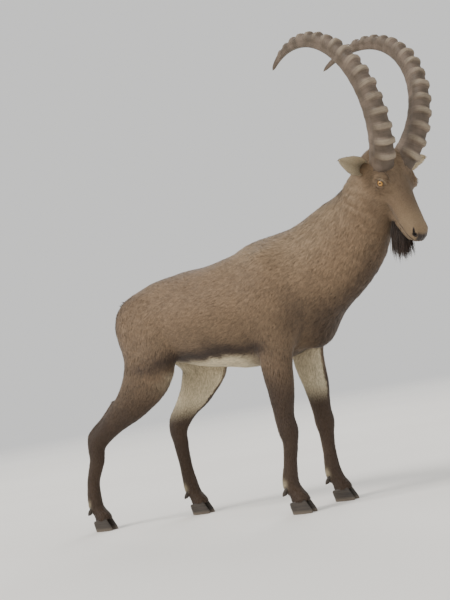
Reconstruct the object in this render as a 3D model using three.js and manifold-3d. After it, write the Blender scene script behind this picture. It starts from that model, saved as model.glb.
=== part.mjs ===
// An adult male alpine ibex, life-size, standing on level ground with its head turned to its right.
// Units are millimetres. +X is forward, +Y is the animal's left, +Z is up, and the hooves stand on z = 0.
// The body is one smooth implicit form, made from sweeps along its bones and from its muscles. It is turned
// into faces on a grid and parted into named pieces by thin flat cuts. Horns, hooves and locks are lofts, and
// an ear is a shell between two sheets.

import * as THREE from 'three';
import { mergeVertices } from 'three/addons/utils/BufferGeometryUtils.js';
import Module from 'manifold-3d';

const wasm = await Module();
wasm.setup();

// Gaps and grid cells
const GAP = 0.3;
const SEAT_GAP = 0.4;
const TRUNK_CELL = { x: 43, y: 32, z: 33 };
const LEG_CELL = { x: 20, y: 17.5, z: 30 };
const HEAD_CELL = { x: 16, y: 15.5, z: 16 };
const CELL_MARGIN = 0.12;
const SWEEP_STEPS = 6;
const FAR = 1000;
const REACH = 90;

// The centre of the standing animal's box, which is moved to the frame's origin
const STANCE_CENTRE = { x: 175, y: -13 };

// Head: where it is carried, how it is turned, and its length against that of a mean adult
const HEAD = { at: new THREE.Vector3(768, -54, 962), yaw: -24, pitch: 64, scale: 1.08 };

// Horns
const HORN = {
  length: 785,
  knots: 17,
  root: { x: -50, y: 36, z: 34 },
  baseDeep: 42,
  baseWide: 31,
  riseAngle: 72,
  turn: 164,
  turnPower: 0.9,
  spreadAtRoot: 21,
  spreadTurn: 32,
};

// Ears, eyes and beard
const EAR = { length: 134, width: 60, thickness: 4.4, columns: 6 };
// Rows of an ear: share of its length, share of its width, and half its roll in degrees
const EAR_ROWS = [
  [0, 0.4, 140],
  [0.14, 0.6, 118],
  [0.3, 0.86, 88],
  [0.48, 1, 66],
  [0.66, 0.88, 54],
  [0.84, 0.55, 46],
  [1, 0.08, 40],
];
const EYE_RADIUS = 16;
const EYE_DEPTH = 14;
const LID = { thick: 3.6, halfWidth: 14, halfHeight: 8.5, steps: 10, reach: 8 };
const MOUTH = { corner: 112, front: 186, level: -19, drop: 7, height: 4, depth: 6, reach: 60 };
const LIP = { centre: 136, sweepAngle: 118, thick: 3.6, sunk: 1.6, apart: 5, steps: 11, sides: 5 };
const NOSTRIL = { y: 12, z: -1, deep: 9, high: 5, wide: 8 };

// Locks of hair, flat and tapered: where along a lock its sections lie, and their widths
const LOCK_SHARES = [0, 0.36, 0.72, 1];
const LOCK_WIDTHS = [0.75, 1, 0.72, 0.1];
const BEARD = {
  length: 132,
  width: 28,
  thickness: 9,
  rows: 5,
  across: 4,
  back: 92,
  run: 46,
  half: 12,
  under: -44,
};
const TAIL_LOCK = { length: 74, width: 28, thickness: 9, count: 8 };
const RANDOM_SEED = 7;

// Joints of the four legs, in the plane of each leg: x and z, and the leg's distance from the middle plane
const FORE_LEGS = {
  right: { side: -1, shoulder: 334, elbow: 292, knee: 288, hoof: 296 },
  left: { side: 1, shoulder: 342, elbow: 292, knee: 308, hoof: 342 },
};
const HIND_LEGS = {
  right: { side: -1, hip: -236, stifle: -214, stifleUp: 535, hock: -495, hockUp: 312, hoof: -520 },
  left: { side: 1, hip: -232, stifle: -134, stifleUp: 545, hock: -288, hockUp: 318, hoof: -240 },
};

// Hooves, and how far the middle of a foot stands from the middle plane
const FOOT_APART = 105;
const CLAW = { length: 72, width: 29, apart: 16, toeUp: 45, slope: 0.2, sides: 10 };
const DEWCLAW = { radii: [8, 11, 7], behind: [50, 44, 30], apart: 15, low: 62, step: 15, sides: 6 };

const COLOURS = {
  coat: 0x8a7663,
  darkCoat: 0x4f3d30,
  beard: 0x3d3029,
  horn: 0x75675a,
  hoof: 0x2f2a26,
  eye: 0xb0812f,
};

const lateral = new THREE.Vector3(0, 1, 0);

// Vectors of the head's own frame: along the face, to its left, and out of the forehead
function headAxes() {
  const yaw = THREE.MathUtils.degToRad(HEAD.yaw);
  const pitch = THREE.MathUtils.degToRad(HEAD.pitch);
  const forward = new THREE.Vector3(Math.cos(yaw), Math.sin(yaw), 0);
  const up = new THREE.Vector3(0, 0, 1);
  const along = forward.clone().multiplyScalar(Math.cos(pitch)).addScaledVector(up, -Math.sin(pitch));
  const left = new THREE.Vector3(-Math.sin(yaw), Math.cos(yaw), 0);
  const out = forward.clone().multiplyScalar(Math.sin(pitch)).addScaledVector(up, Math.cos(pitch));
  return { along, left, out };
}

const axes = headAxes();

// A point of the head, given in the mean adult's millimetres
function onHead(x, y, z) {
  return HEAD.at
    .clone()
    .addScaledVector(axes.along, x * HEAD.scale)
    .addScaledVector(axes.left, y * HEAD.scale)
    .addScaledVector(axes.out, z * HEAD.scale);
}

// A direction in the head's frame
function headDirection(x, y, z) {
  return new THREE.Vector3()
    .addScaledVector(axes.along, x)
    .addScaledVector(axes.left, y)
    .addScaledVector(axes.out, z)
    .normalize();
}

// Implicit forms

function catmullRom(a, b, c, d, t) {
  const bend = (2 * a - 5 * b + 4 * c - d) * t * t + (3 * b - a - 3 * c + d) * t * t * t;
  return 0.5 * (2 * b + (c - a) * t + bend);
}

// Stations of a sweep, [point, half depth, half width], joined by a smooth curve
function sweep(stations, blend, side = lateral) {
  const rows = stations.map(([p, deep, wide]) => [p.x, p.y, p.z, deep, wide]);
  const fine = [];
  for (let i = 0; i < rows.length - 1; i++) {
    const near = [rows[Math.max(i - 1, 0)], rows[i], rows[i + 1], rows[Math.min(i + 2, rows.length - 1)]];
    for (let k = 0; k < SWEEP_STEPS; k++) {
      fine.push(rows[i].map((_, j) => catmullRom(...near.map((row) => row[j]), k / SWEEP_STEPS)));
    }
  }
  fine.push(rows[rows.length - 1]);
  const low = [0, 1, 2].map((j) => Math.min(...fine.map((r) => r[j] - Math.max(r[3], r[4]))));
  const high = [0, 1, 2].map((j) => Math.max(...fine.map((r) => r[j] + Math.max(r[3], r[4]))));
  function distance(x, y, z) {
    let best = FAR;
    for (let i = 0; i < fine.length - 1; i++) {
      const p = fine[i];
      const q = fine[i + 1];
      const dx = q[0] - p[0];
      const dy = q[1] - p[1];
      const dz = q[2] - p[2];
      let t = ((x - p[0]) * dx + (y - p[1]) * dy + (z - p[2]) * dz) / (dx * dx + dy * dy + dz * dz);
      t = Math.min(Math.max(t, 0), 1);
      const ox = x - p[0] - t * dx;
      const oy = y - p[1] - t * dy;
      const oz = z - p[2] - t * dz;
      const deep = p[3] + t * (q[3] - p[3]);
      const wide = p[4] + t * (q[4] - p[4]);
      const across = ox * side.x + oy * side.y + oz * side.z;
      const rest = Math.max(ox * ox + oy * oy + oz * oz - across * across, 0);
      best = Math.min(best, ovalDistance(across * across, wide, rest, deep));
    }
    return best;
  }
  return { distance, blend, low, high };
}

// Distance to an oval section, from the squares of the offsets along its two half axes
function ovalDistance(across, wide, rest, deep) {
  const k = Math.sqrt(across / (wide * wide) + rest / (deep * deep));
  const slope = Math.sqrt(across / wide ** 4 + rest / deep ** 4);
  return slope < 1e-6 ? -Math.min(wide, deep) : (k * (k - 1)) / slope;
}

// A muscle: an ellipsoid with its half axes along three given directions
function muscle(centre, radii, blend, frame = null) {
  const e = frame || [new THREE.Vector3(1, 0, 0), lateral, new THREE.Vector3(0, 0, 1)];
  const reach = Math.max(...radii);
  function distance(x, y, z) {
    const ox = x - centre.x;
    const oy = y - centre.y;
    const oz = z - centre.z;
    let k = 0;
    let slope = 0;
    for (let j = 0; j < 3; j++) {
      const s = ox * e[j].x + oy * e[j].y + oz * e[j].z;
      k += (s / radii[j]) ** 2;
      slope += (s / radii[j] ** 2) ** 2;
    }
    k = Math.sqrt(k);
    return slope < 1e-12 ? -Math.min(...radii) : (k * (k - 1)) / Math.sqrt(slope);
  }
  const low = [centre.x - reach, centre.y - reach, centre.z - reach];
  const high = [centre.x + reach, centre.y + reach, centre.z + reach];
  return { distance, blend, low, high };
}

function smoothMin(a, b, blend) {
  const h = Math.max(blend - Math.abs(a - b), 0) / blend;
  return Math.min(a, b) - (h * h * blend) / 4;
}

// The forms joined, each with its own blend
function joined(forms) {
  return (x, y, z) => {
    let d = FAR;
    for (const form of forms) {
      if (
        x < form.low[0] - REACH || x > form.high[0] + REACH ||
        y < form.low[1] - REACH || y > form.high[1] + REACH ||
        z < form.low[2] - REACH || z > form.high[2] + REACH
      ) continue;
      d = smoothMin(d, form.distance(x, y, z), form.blend);
    }
    return d;
  };
}

function point(x, y, z) {
  return new THREE.Vector3(x, y, z);
}

// Trunk: stations from the buttocks to the brisket, and the masses of haunch, ribs and shoulder
function trunkForms() {
  const spine = sweep([
    [point(-305, 0, 726), 58, 52],
    [point(-258, 0, 718), 106, 92],
    [point(-180, 0, 704), 144, 126],
    [point(-70, 0, 690), 168, 152],
    [point(60, 0, 678), 184, 186],
    [point(190, 0, 680), 200, 186],
    [point(300, 0, 698), 192, 158],
    [point(385, 0, 690), 128, 112],
  ], 40);
  const withers = muscle(point(262, 0, 828), [110, 46, 54], 50);
  const brisket = muscle(point(400, 0, 600), [72, 70, 84], 50);
  const shoulders = [-1, 1].map((s) => muscle(point(318, s * 108, 700), [84, 62, 150], 50));
  const haunches = [-1, 1].map((s) => muscle(point(-238, s * 78, 674), [104, 62, 112], 60));
  return [spine, withers, brisket, ...shoulders, ...haunches];
}

function neckForms() {
  const root = onHead(-58, 0, -12);
  const bend = sweep([
    [point(262, 0, 744), 140, 116],
    [point(410, 0, 754), 166, 118],
    [point(550, -16, 820), 150, 102],
    [point(650, -38, 900), 109, 84],
    [root, 84, 66],
  ], 50, new THREE.Vector3(0.1, 1, 0).normalize());
  return [bend];
}

// Head: cranium and face, lower jaw, brows, cheeks, nose and chin, in the mean adult's millimetres
function headForms() {
  const station = ([x, z, deep, wide]) => [onHead(x, 0, z), deep * HEAD.scale, wide * HEAD.scale];
  const pairs = (x, y, z, radii, blend) => [-1, 1].map((s) => muscle(
    onHead(x, s * y, z),
    radii.map((r) => r * HEAD.scale),
    blend,
    [axes.along, axes.left, axes.out],
  ));
  const face = sweep([
    [-75, 0, 46, 46],
    [-40, 4, 52, 52],
    [0, 4, 48, 51],
    [45, 1, 42, 43],
    [90, -2, 36, 38],
    [130, -4, 32, 35],
    [156, -6, 28, 33],
    [170, -8, 22, 27],
  ].map(station), 20, axes.left);
  const jaw = sweep([
    [-30, -38, 42, 34],
    [10, -41, 34, 28],
    [60, -41, 25, 24],
    [105, -38, 19, 21],
    [140, -35, 15, 20],
    [158, -34, 11, 15],
  ].map(station), 16, axes.left);
  return [
    face,
    jaw,
    ...pairs(0, 38, 16, [36, 30, 29], 18),
    ...pairs(-20, 32, -36, [38, 22, 34], 18),
    ...pairs(-50, 30, 36, [34, 26, 26], 16),
    ...pairs(154, 14, 0, [20, 14, 17], 12),
  ];
}

function forelegForms({ side, shoulder, elbow, knee, hoof }) {
  const y = (out) => side * out;
  const fetlock = hoof - 30;
  return [sweep([
    [point(shoulder, y(92), 690), 84, 52],
    [point(elbow, y(106), 520), 66, 46],
    [point((elbow + knee) / 2, y(110), 400), 48, 37],
    [point(knee - 3, y(109), 315), 36, 31],
    [point(knee + 2, y(108), 268), 36, 33],
    [point(knee + 2, y(107), 226), 28, 26],
    [point((knee + fetlock) / 2, y(106), 162), 25, 23],
    [point(fetlock, y(FOOT_APART), 98), 30, 28],
    [point(fetlock + 14, y(FOOT_APART), 68), 27, 27],
    [point(hoof - 4, y(FOOT_APART), 42), 33, 31],
    [point(hoof, y(FOOT_APART), 24), 32, 30],
  ], 30)];
}

function hindlegForms({ side, hip, stifle, stifleUp, hock, hockUp, hoof }) {
  const y = (out) => side * out;
  const fetlock = hoof - 32;
  const low = hock * 0.25 + fetlock * 0.75 - 6;
  const lean = point(stifle - hock, 0, stifleUp - hockUp).normalize();
  const heel = (far) => point(hock - 22, y(110), hockUp + 26).addScaledVector(lean, far);
  return [
    sweep([
      [point(hip - 6, y(74), 690), 112, 66],
      [point(stifle, y(108), stifleUp + 20), 108, 62],
      [point(stifle * 0.72 + hock * 0.28, y(114), stifleUp * 0.62 + hockUp * 0.38), 72, 48],
      [point(stifle * 0.3 + hock * 0.7, y(112), stifleUp * 0.26 + hockUp * 0.74), 42, 32],
      [point(hock, y(109), hockUp), 38, 29],
      [point(hock * 0.8 + fetlock * 0.2 - 4, y(108), hockUp - 62), 31, 25],
      [point(low, y(106), 178), 26, 23],
      [point(fetlock, y(FOOT_APART), 99), 30, 28],
      [point(fetlock + 14, y(FOOT_APART), 68), 27, 27],
      [point(hoof - 4, y(FOOT_APART), 42), 33, 31],
      [point(hoof, y(FOOT_APART), 24), 32, 30],
    ], 30),
    sweep([
      [heel(165), 18, 15],
      [heel(80), 13, 11],
      [heel(0), 15, 14],
      [point(hock - 18, y(109), hockUp - 18), 14, 14],
    ], 14),
  ];
}

const FLESH = [
  ...trunkForms(),
  ...neckForms(),
  ...headForms(),
  ...forelegForms(FORE_LEGS.right),
  ...forelegForms(FORE_LEGS.left),
  ...hindlegForms(HIND_LEGS.right),
  ...hindlegForms(HIND_LEGS.left),
];
const bodyDistance = joined(FLESH);

// Faces on a grid: one point in each cell that the surface crosses, drawn onto the surface

function polygonise(distance, low, high, cell) {
  const step = [cell.x, cell.y, cell.z];
  const count = [0, 1, 2].map((j) => Math.ceil((high[j] - low[j]) / step[j]) + 1);
  const at = (i, j, k) => (k * count[1] + j) * count[0] + i;
  const value = new Float64Array(count[0] * count[1] * count[2]);
  const last = count.map((n) => n - 1);
  for (let k = 0; k < count[2]; k++) {
    for (let j = 0; j < count[1]; j++) {
      for (let i = 0; i < count[0]; i++) {
        const edge = i === 0 || j === 0 || k === 0 || i === last[0] || j === last[1] || k === last[2];
        const d = distance(low[0] + i * step[0], low[1] + j * step[1], low[2] + k * step[2]);
        value[at(i, j, k)] = edge ? Math.max(d, 1) : d || 1e-6;
      }
    }
  }
  settleSaddles(value, count, at);
  const positions = [];
  const vertexOf = new Map();
  const corners = [0, 1, 2, 3, 4, 5, 6, 7].map((c) => [c & 1, (c >> 1) & 1, c >> 2]);
  const edges = corners.flatMap((_, c) => [1, 2, 4].filter((bit) => !(c & bit)).map((bit) => [c, c | bit]));
  for (let k = 0; k < last[2]; k++) {
    for (let j = 0; j < last[1]; j++) {
      for (let i = 0; i < last[0]; i++) {
        const f = corners.map(([a, b, c]) => value[at(i + a, j + b, k + c)]);
        const inside = f.filter((v) => v < 0).length;
        if (inside === 0 || inside === 8) continue;
        const sum = [0, 0, 0];
        let crossings = 0;
        for (const [a, b] of edges) {
          if (f[a] < 0 === f[b] < 0) continue;
          const t = f[a] / (f[a] - f[b]);
          for (let m = 0; m < 3; m++) sum[m] += corners[a][m] + t * (corners[b][m] - corners[a][m]);
          crossings++;
        }
        const corner = [i, j, k].map((n, m) => low[m] + n * step[m]);
        const start = corner.map((v, m) => v + (sum[m] / crossings) * step[m]);
        const onWall = [i, j, k].some((n, m) => n === 0 || n === last[m] - 1);
        vertexOf.set(at(i, j, k), positions.length / 3);
        positions.push(...(onWall ? start : drawnOn(distance, start, corner, step)));
      }
    }
  }
  const index = [];
  const spot = (v) => new THREE.Vector3(positions[3 * v], positions[3 * v + 1], positions[3 * v + 2]);
  for (let k = 0; k < last[2]; k++) {
    for (let j = 0; j < last[1]; j++) {
      for (let i = 0; i < last[0]; i++) {
        for (let axis = 0; axis < 3; axis++) {
          const next = [i, j, k];
          next[axis]++;
          const a = value[at(i, j, k)];
          const b = value[at(...next)];
          if (a < 0 === b < 0) continue;
          const u = (axis + 1) % 3;
          const v = (axis + 2) % 3;
          const ring = [[-1, -1], [0, -1], [0, 0], [-1, 0]].map(([p, q]) => {
            const c = [i, j, k];
            c[u] += p;
            c[v] += q;
            return vertexOf.get(at(...c));
          });
          if (a > 0) ring.reverse();
          const [r0, r1, r2, r3] = ring;
          const short = spot(r0).distanceTo(spot(r2)) <= spot(r1).distanceTo(spot(r3));
          index.push(...(short ? [r0, r1, r2, r0, r2, r3] : [r0, r1, r3, r1, r2, r3]));
        }
      }
    }
  }
  return { positions: new Float32Array(positions), index: new Uint32Array(index) };
}

// Where the four corners of a grid face lie in and out by turns, four faces would meet in one edge: the corner
// that lies nearest the surface changes its side
function settleSaddles(value, count, at) {
  let changed = true;
  while (changed) {
    changed = false;
    for (let k = 0; k < count[2]; k++) {
      for (let j = 0; j < count[1]; j++) {
        for (let i = 0; i < count[0]; i++) {
          for (let axis = 0; axis < 3; axis++) {
            const far = [i, j, k].map((n, m) => n + (m === axis ? 0 : 1));
            if (far.some((n, m) => n >= count[m])) continue;
            const [u, v] = [0, 1, 2].filter((m) => m !== axis);
            const ring = [[0, 0], [1, 0], [1, 1], [0, 1]].map(([a, b]) => {
              const corner = [i, j, k];
              corner[u] += a;
              corner[v] += b;
              return at(...corner);
            });
            const inside = ring.map((c) => value[c] < 0);
            if (inside[0] !== inside[2] || inside[1] !== inside[3] || inside[0] === inside[1]) continue;
            const near = ring.filter((c) => value[c] < 0).reduce((a, b) => (value[a] > value[b] ? a : b));
            value[near] = 1e-3;
            changed = true;
          }
        }
      }
    }
  }
}

// A grid point moved onto the surface, and kept a little inside its own cell
function drawnOn(distance, start, corner, step) {
  const p = [...start];
  const small = 0.5;
  for (let pass = 0; pass < 3; pass++) {
    const d = distance(...p);
    const g = [0, 1, 2].map((m) => {
      const q = [...p];
      q[m] += small;
      return (distance(...q) - d) / small;
    });
    const size = g[0] ** 2 + g[1] ** 2 + g[2] ** 2;
    if (size < 0.01) break;
    for (let m = 0; m < 3; m++) p[m] -= (d * g[m]) / size;
  }
  const least = corner.map((v, m) => v + CELL_MARGIN * step[m]);
  const most = corner.map((v, m) => v + (1 - CELL_MARGIN) * step[m]);
  return p.map((v, m) => Math.min(Math.max(v, least[m]), most[m]));
}

function solid({ positions, index }) {
  return new wasm.Manifold(new wasm.Mesh({ numProp: 3, vertProperties: positions, triVerts: index }));
}

function solidOfGeometry(geometry) {
  const bare = geometry.clone();
  bare.deleteAttribute('normal');
  bare.deleteAttribute('uv');
  const merged = mergeVertices(bare, 1e-3);
  return solid({ positions: merged.attributes.position.array, index: new Uint32Array(merged.index.array) });
}

function geometryOf(form) {
  const mesh = form.getMesh();
  const geometry = new THREE.BufferGeometry();
  geometry.setAttribute('position', new THREE.BufferAttribute(new Float32Array(mesh.vertProperties), 3));
  geometry.setIndex(new THREE.BufferAttribute(new Uint32Array(mesh.triVerts), 1));
  geometry.computeVertexNormals();
  return geometry;
}

// The largest closed surface of a form
function largest(form) {
  const pieces = form.decompose();
  return pieces.reduce((best, piece) => (piece.volume() > best.volume() ? piece : best));
}

// The same form with each point moved outwards, to cut a seat for it
function grown(form, amount) {
  const geometry = geometryOf(form);
  const { position, normal } = geometry.attributes;
  const moved = new Float32Array(position.array);
  for (let i = 0; i < moved.length; i++) moved[i] += normal.array[i] * amount;
  return solid({ positions: moved, index: new Uint32Array(geometry.index.array) });
}

// Cuts: a cut is a flat plane through a point, and a piece on either side of it stays half a gap clear

function cutAt(through, normal) {
  const n = normal.clone().normalize();
  return { n, offset: n.dot(through) };
}

function ahead(form, { n, offset }) {
  return form.trimByPlane([n.x, n.y, n.z], offset + GAP / 2);
}

function behind(form, { n, offset }) {
  return form.trimByPlane([-n.x, -n.y, -n.z], -offset + GAP / 2);
}

// A closed loft through rings of points
function loft(rings) {
  const sides = rings[0].length;
  const positions = new Float32Array(rings.flat().flatMap((p) => [p.x, p.y, p.z]));
  const index = [];
  for (let r = 0; r < rings.length - 1; r++) {
    for (let i = 0; i < sides; i++) {
      const a = r * sides + i;
      const b = r * sides + ((i + 1) % sides);
      index.push(a, b, b + sides, a, b + sides, a + sides);
    }
  }
  const top = (rings.length - 1) * sides;
  for (let i = 1; i < sides - 1; i++) {
    index.push(0, i + 1, i);
    index.push(top, top + i, top + i + 1);
  }
  return facingOut(positions, index);
}

// A closed shell between two sheets of the same rows and columns
function shell(outer, inner) {
  const rows = outer.length;
  const columns = outer[0].length;
  const positions = new Float32Array([...outer.flat(), ...inner.flat()].flatMap((p) => [p.x, p.y, p.z]));
  const spot = (sheet, r, c) => (sheet * rows + r) * columns + c;
  const index = [];
  const face = (a, b, c, d) => index.push(a, b, c, a, c, d);
  for (let r = 0; r < rows - 1; r++) {
    for (let c = 0; c < columns - 1; c++) {
      face(spot(0, r, c), spot(0, r, c + 1), spot(0, r + 1, c + 1), spot(0, r + 1, c));
      face(spot(1, r, c), spot(1, r + 1, c), spot(1, r + 1, c + 1), spot(1, r, c + 1));
    }
    face(spot(0, r, 0), spot(0, r + 1, 0), spot(1, r + 1, 0), spot(1, r, 0));
    const rim = columns - 1;
    face(spot(0, r, rim), spot(1, r, rim), spot(1, r + 1, rim), spot(0, r + 1, rim));
  }
  for (let c = 0; c < columns - 1; c++) {
    face(spot(0, 0, c), spot(1, 0, c), spot(1, 0, c + 1), spot(0, 0, c + 1));
    face(spot(0, rows - 1, c), spot(0, rows - 1, c + 1), spot(1, rows - 1, c + 1), spot(1, rows - 1, c));
  }
  return facingOut(positions, index);
}

// A closed form from points and faces, turned so that its faces point out
function facingOut(positions, index) {
  const made = solid({ positions, index: new Uint32Array(index) });
  if (made.volume() >= 0) return made;
  for (let i = 0; i < index.length; i += 3) [index[i + 1], index[i + 2]] = [index[i + 2], index[i + 1]];
  return solid({ positions, index: new Uint32Array(index) });
}

// A lock of hair: flat and tapered, bending from its own direction towards another
function lock(root, run, facing, bendTo, { length, width, thickness }) {
  const way = run.clone().normalize();
  const at = root.clone();
  const rings = LOCK_SHARES.map((share, i) => {
    const across = facing.clone().cross(way).normalize();
    const face = way.clone().cross(across).normalize();
    const half = (width / 2) * LOCK_WIDTHS[i];
    const thin = (thickness / 2) * (1 - 0.85 * share);
    const ring = [
      at.clone().addScaledVector(across, half),
      at.clone().addScaledVector(face, thin),
      at.clone().addScaledVector(across, -half),
      at.clone().addScaledVector(face, -thin),
    ];
    const next = LOCK_SHARES[i + 1] ?? 1;
    at.addScaledVector(way, (next - share) * length);
    way.addScaledVector(bendTo, 0.4).normalize();
    return ring;
  });
  return loft(rings);
}

// A repeatable draw between -1 and 1
let randomState = RANDOM_SEED;
function draw() {
  randomState = (randomState * 1664525 + 1013904223) % 4294967296;
  return (2 * randomState) / 4294967296 - 1;
}

// The planes that part the animal
const CUTS = {
  head: cutAt(onHead(-30, 0, -81), headDirection(0.04, 0, 1)),
  neck: cutAt(point(345, 0, 700), new THREE.Vector3(0.9, 0, 0.44)),
  chest: cutAt(point(170, 0, 700), new THREE.Vector3(1, 0, 0)),
  rump: cutAt(point(-48, 0, 700), new THREE.Vector3(1, 0, 0)),
};

function elbowCut({ side }) {
  return cutAt(point(0, side * 60, 446), new THREE.Vector3(0, -side * 0.62, 0.78));
}

function hipCut({ side }) {
  return cutAt(point(0, side * 50, 480), new THREE.Vector3(0, -side * 0.8, 0.6));
}

function forelegCuts({ knee, hoof }) {
  return {
    knee: cutAt(point(knee, 0, 262), new THREE.Vector3(0, 0, 1)),
    fetlock: cutAt(point(hoof - 30, 0, 112), new THREE.Vector3(-0.15, 0, 1)),
    hoof: cutAt(point(hoof, 0, CLAW.toeUp - 2), new THREE.Vector3(-CLAW.slope, 0, 1)),
  };
}

function hindlegCuts({ stifle, stifleUp, hock, hockUp, hoof }) {
  const shin = new THREE.Vector3(stifle - hock, 0, stifleUp - hockUp);
  return {
    shin: cutAt(point(stifle * 0.82 + hock * 0.18, 0, stifleUp * 0.82 + hockUp * 0.18), shin),
    hock: cutAt(point(hock, 0, hockUp - 26), new THREE.Vector3(0.12, 0, 1)),
    fetlock: cutAt(point(hoof - 32, 0, 112), new THREE.Vector3(-0.15, 0, 1)),
    hoof: cutAt(point(hoof, 0, CLAW.toeUp - 2), new THREE.Vector3(-CLAW.slope, 0, 1)),
  };
}

// Pieces
const group = new THREE.Group();

function addPiece(name, form, colour, roughness = 0.9) {
  const material = new THREE.MeshStandardMaterial({ color: colour, roughness, metalness: 0 });
  const mesh = new THREE.Mesh(geometryOf(largest(form)), material);
  mesh.name = name;
  group.add(mesh);
}

// Trunk, neck and haunches come from one coarse skin
const trunkSkin = solid(polygonise(bodyDistance, [-460, -260, 330], [860, 250, 1140], TRUNK_CELL));

function addTrunk() {
  const fore = Object.values(FORE_LEGS).map(elbowCut);
  const hips = Object.values(HIND_LEGS).map(hipCut);
  const chest = fore.reduce(ahead, behind(ahead(trunkSkin, CUTS.chest), CUTS.neck));
  const barrel = ahead(behind(trunkSkin, CUTS.chest), CUTS.rump);
  const rump = hips.reduce(ahead, behind(trunkSkin, CUTS.rump));
  addPiece('neck', behind(ahead(trunkSkin, CUTS.neck), CUTS.head), COLOURS.coat);
  addPiece('chest', chest, COLOURS.coat);
  addPiece('barrel', barrel, COLOURS.coat);
  addPiece('rump', rump, COLOURS.coat);
  return largest(rump);
}

function addForeleg(name, leg) {
  const low = [Math.min(leg.knee, leg.elbow) - 110, leg.side * 110 - 95, 20];
  const high = [Math.max(leg.hoof, leg.elbow) + 120, leg.side * 110 + 95, 600];
  const skin = solid(polygonise(bodyDistance, low, high, LEG_CELL));
  const cuts = forelegCuts(leg);
  const leftOver = behind(ahead(skin, CUTS.chest), elbowCut(leg));
  addPiece(`forearm_${name}`, ahead(leftOver, cuts.knee), COLOURS.coat);
  addPiece(`fore_cannon_${name}`, ahead(behind(leftOver, cuts.knee), cuts.fetlock), COLOURS.darkCoat);
  addFoot(`fore_${name}`, behind(leftOver, cuts.fetlock), cuts, leg);
}

function addHindleg(name, leg) {
  const cuts = hindlegCuts(leg);
  const thigh = ahead(behind(behind(trunkSkin, CUTS.rump), hipCut(leg)), cuts.shin);
  addPiece(`thigh_${name}`, thigh, COLOURS.coat);
  const low = [leg.hock - 90, leg.side * 110 - 80, 20];
  const high = [leg.stifle + 100, leg.side * 110 + 80, 600];
  const skin = behind(behind(solid(polygonise(bodyDistance, low, high, LEG_CELL)), hipCut(leg)), cuts.shin);
  addPiece(`shin_${name}`, ahead(skin, cuts.hock), COLOURS.coat);
  const leftOver = behind(skin, cuts.hock);
  addPiece(`hind_cannon_${name}`, ahead(leftOver, cuts.fetlock), COLOURS.darkCoat);
  addFoot(`hind_${name}`, behind(leftOver, cuts.fetlock), cuts, leg);
}

// A pastern with its dewclaws, and the two claws under it
function addFoot(name, skin, cuts, leg) {
  const y = leg.side * FOOT_APART;
  const dewclaws = [-1, 1].map((s) => loft([0, 1, 2].map((i) => {
    const radius = DEWCLAW.radii[i];
    const centre = point(leg.hoof - DEWCLAW.behind[i], y + s * DEWCLAW.apart, DEWCLAW.low + i * DEWCLAW.step);
    return circle(centre, radius, radius * 0.9, DEWCLAW.sides);
  })));
  const pastern = dewclaws.reduce((a, b) => a.add(b), ahead(skin, cuts.hoof));
  addPiece(`pastern_${name}`, pastern, COLOURS.darkCoat);
  for (const s of [-1, 1]) {
    const place = s * leg.side > 0 ? 'outer' : 'inner';
    addPiece(`claw_${name}_${place}`, claw(leg.hoof, y + s * CLAW.apart, s, cuts.hoof), COLOURS.hoof, 0.6);
  }
}

function circle(centre, deep, wide, sides) {
  return Array.from({ length: sides }, (_, i) => {
    const angle = (2 * Math.PI * i) / sides;
    return point(centre.x + deep * Math.cos(angle), centre.y + wide * Math.sin(angle), centre.z);
  });
}

// One claw: a blunt wedge, pointed in front, flat below and on the side of the cleft
function claw(hoofX, y, outward, top) {
  const levels = [[0, 1, 5], [16, 0.96, 2], [34, 0.88, -4], [60, 0.8, -10]];
  const rings = levels.map(([z, size, shift]) => Array.from({ length: CLAW.sides }, (_, i) => {
    const angle = (2 * Math.PI * i) / CLAW.sides;
    const narrow = 1 - 0.3 * Math.cos(angle);
    const across = Math.sin(angle) * outward > 0 ? 1 : 0.78;
    const x = hoofX + shift + (CLAW.length / 2) * size * Math.cos(angle);
    return point(x, y + (CLAW.width / 2) * size * narrow * across * Math.sin(angle) * 1.05, z);
  }));
  return behind(loft(rings), top);
}

// The head's skin, on a finer grid
function addHead() {
  const low = onHead(40, 0, 0).toArray().map((v, m) => v - [230, 210, 230][m]);
  const high = onHead(40, 0, 0).toArray().map((v, m) => v + [200, 210, 250][m]);
  const skin = largest(ahead(solid(polygonise(bodyDistance, low, high, HEAD_CELL)), CUTS.head));
  const eyes = [-1, 1].map((s) => eyeCentre(s));
  const lidShells = eyes.map(({ centre }) => ball(centre, EYE_RADIUS + LID.thick));
  let head = [...lidShells, lip(LIP.apart), lip(-LIP.apart)].reduce((a, b) => a.add(b), skin);
  head = head.subtract(mouthLine(skin));
  for (const s of [-1, 1]) head = head.subtract(nostril(s));
  for (const eye of eyes) {
    const socket = ball(eye.centre, EYE_RADIUS + SEAT_GAP);
    head = head.subtract(lidOpening(eye)).subtract(socket);
  }
  addPiece('head', head, COLOURS.coat);
  addPiece('eye_right', ball(eyes[0].centre, EYE_RADIUS), COLOURS.eye, 0.1);
  addPiece('eye_left', ball(eyes[1].centre, EYE_RADIUS), COLOURS.eye, 0.1);
  return grown(skin, SEAT_GAP);
}

function ball(centre, radius) {
  const geometry = new THREE.SphereGeometry(radius, 10, 8);
  geometry.translate(centre.x, centre.y, centre.z);
  return solidOfGeometry(geometry);
}

// The first point outside the skin on the way from a point within it
function onSkin(start, direction) {
  let depth = 0;
  while (bodyDistance(...start.clone().addScaledVector(direction, depth).toArray()) < 0) depth += 0.25;
  return start.clone().addScaledVector(direction, depth);
}

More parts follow.
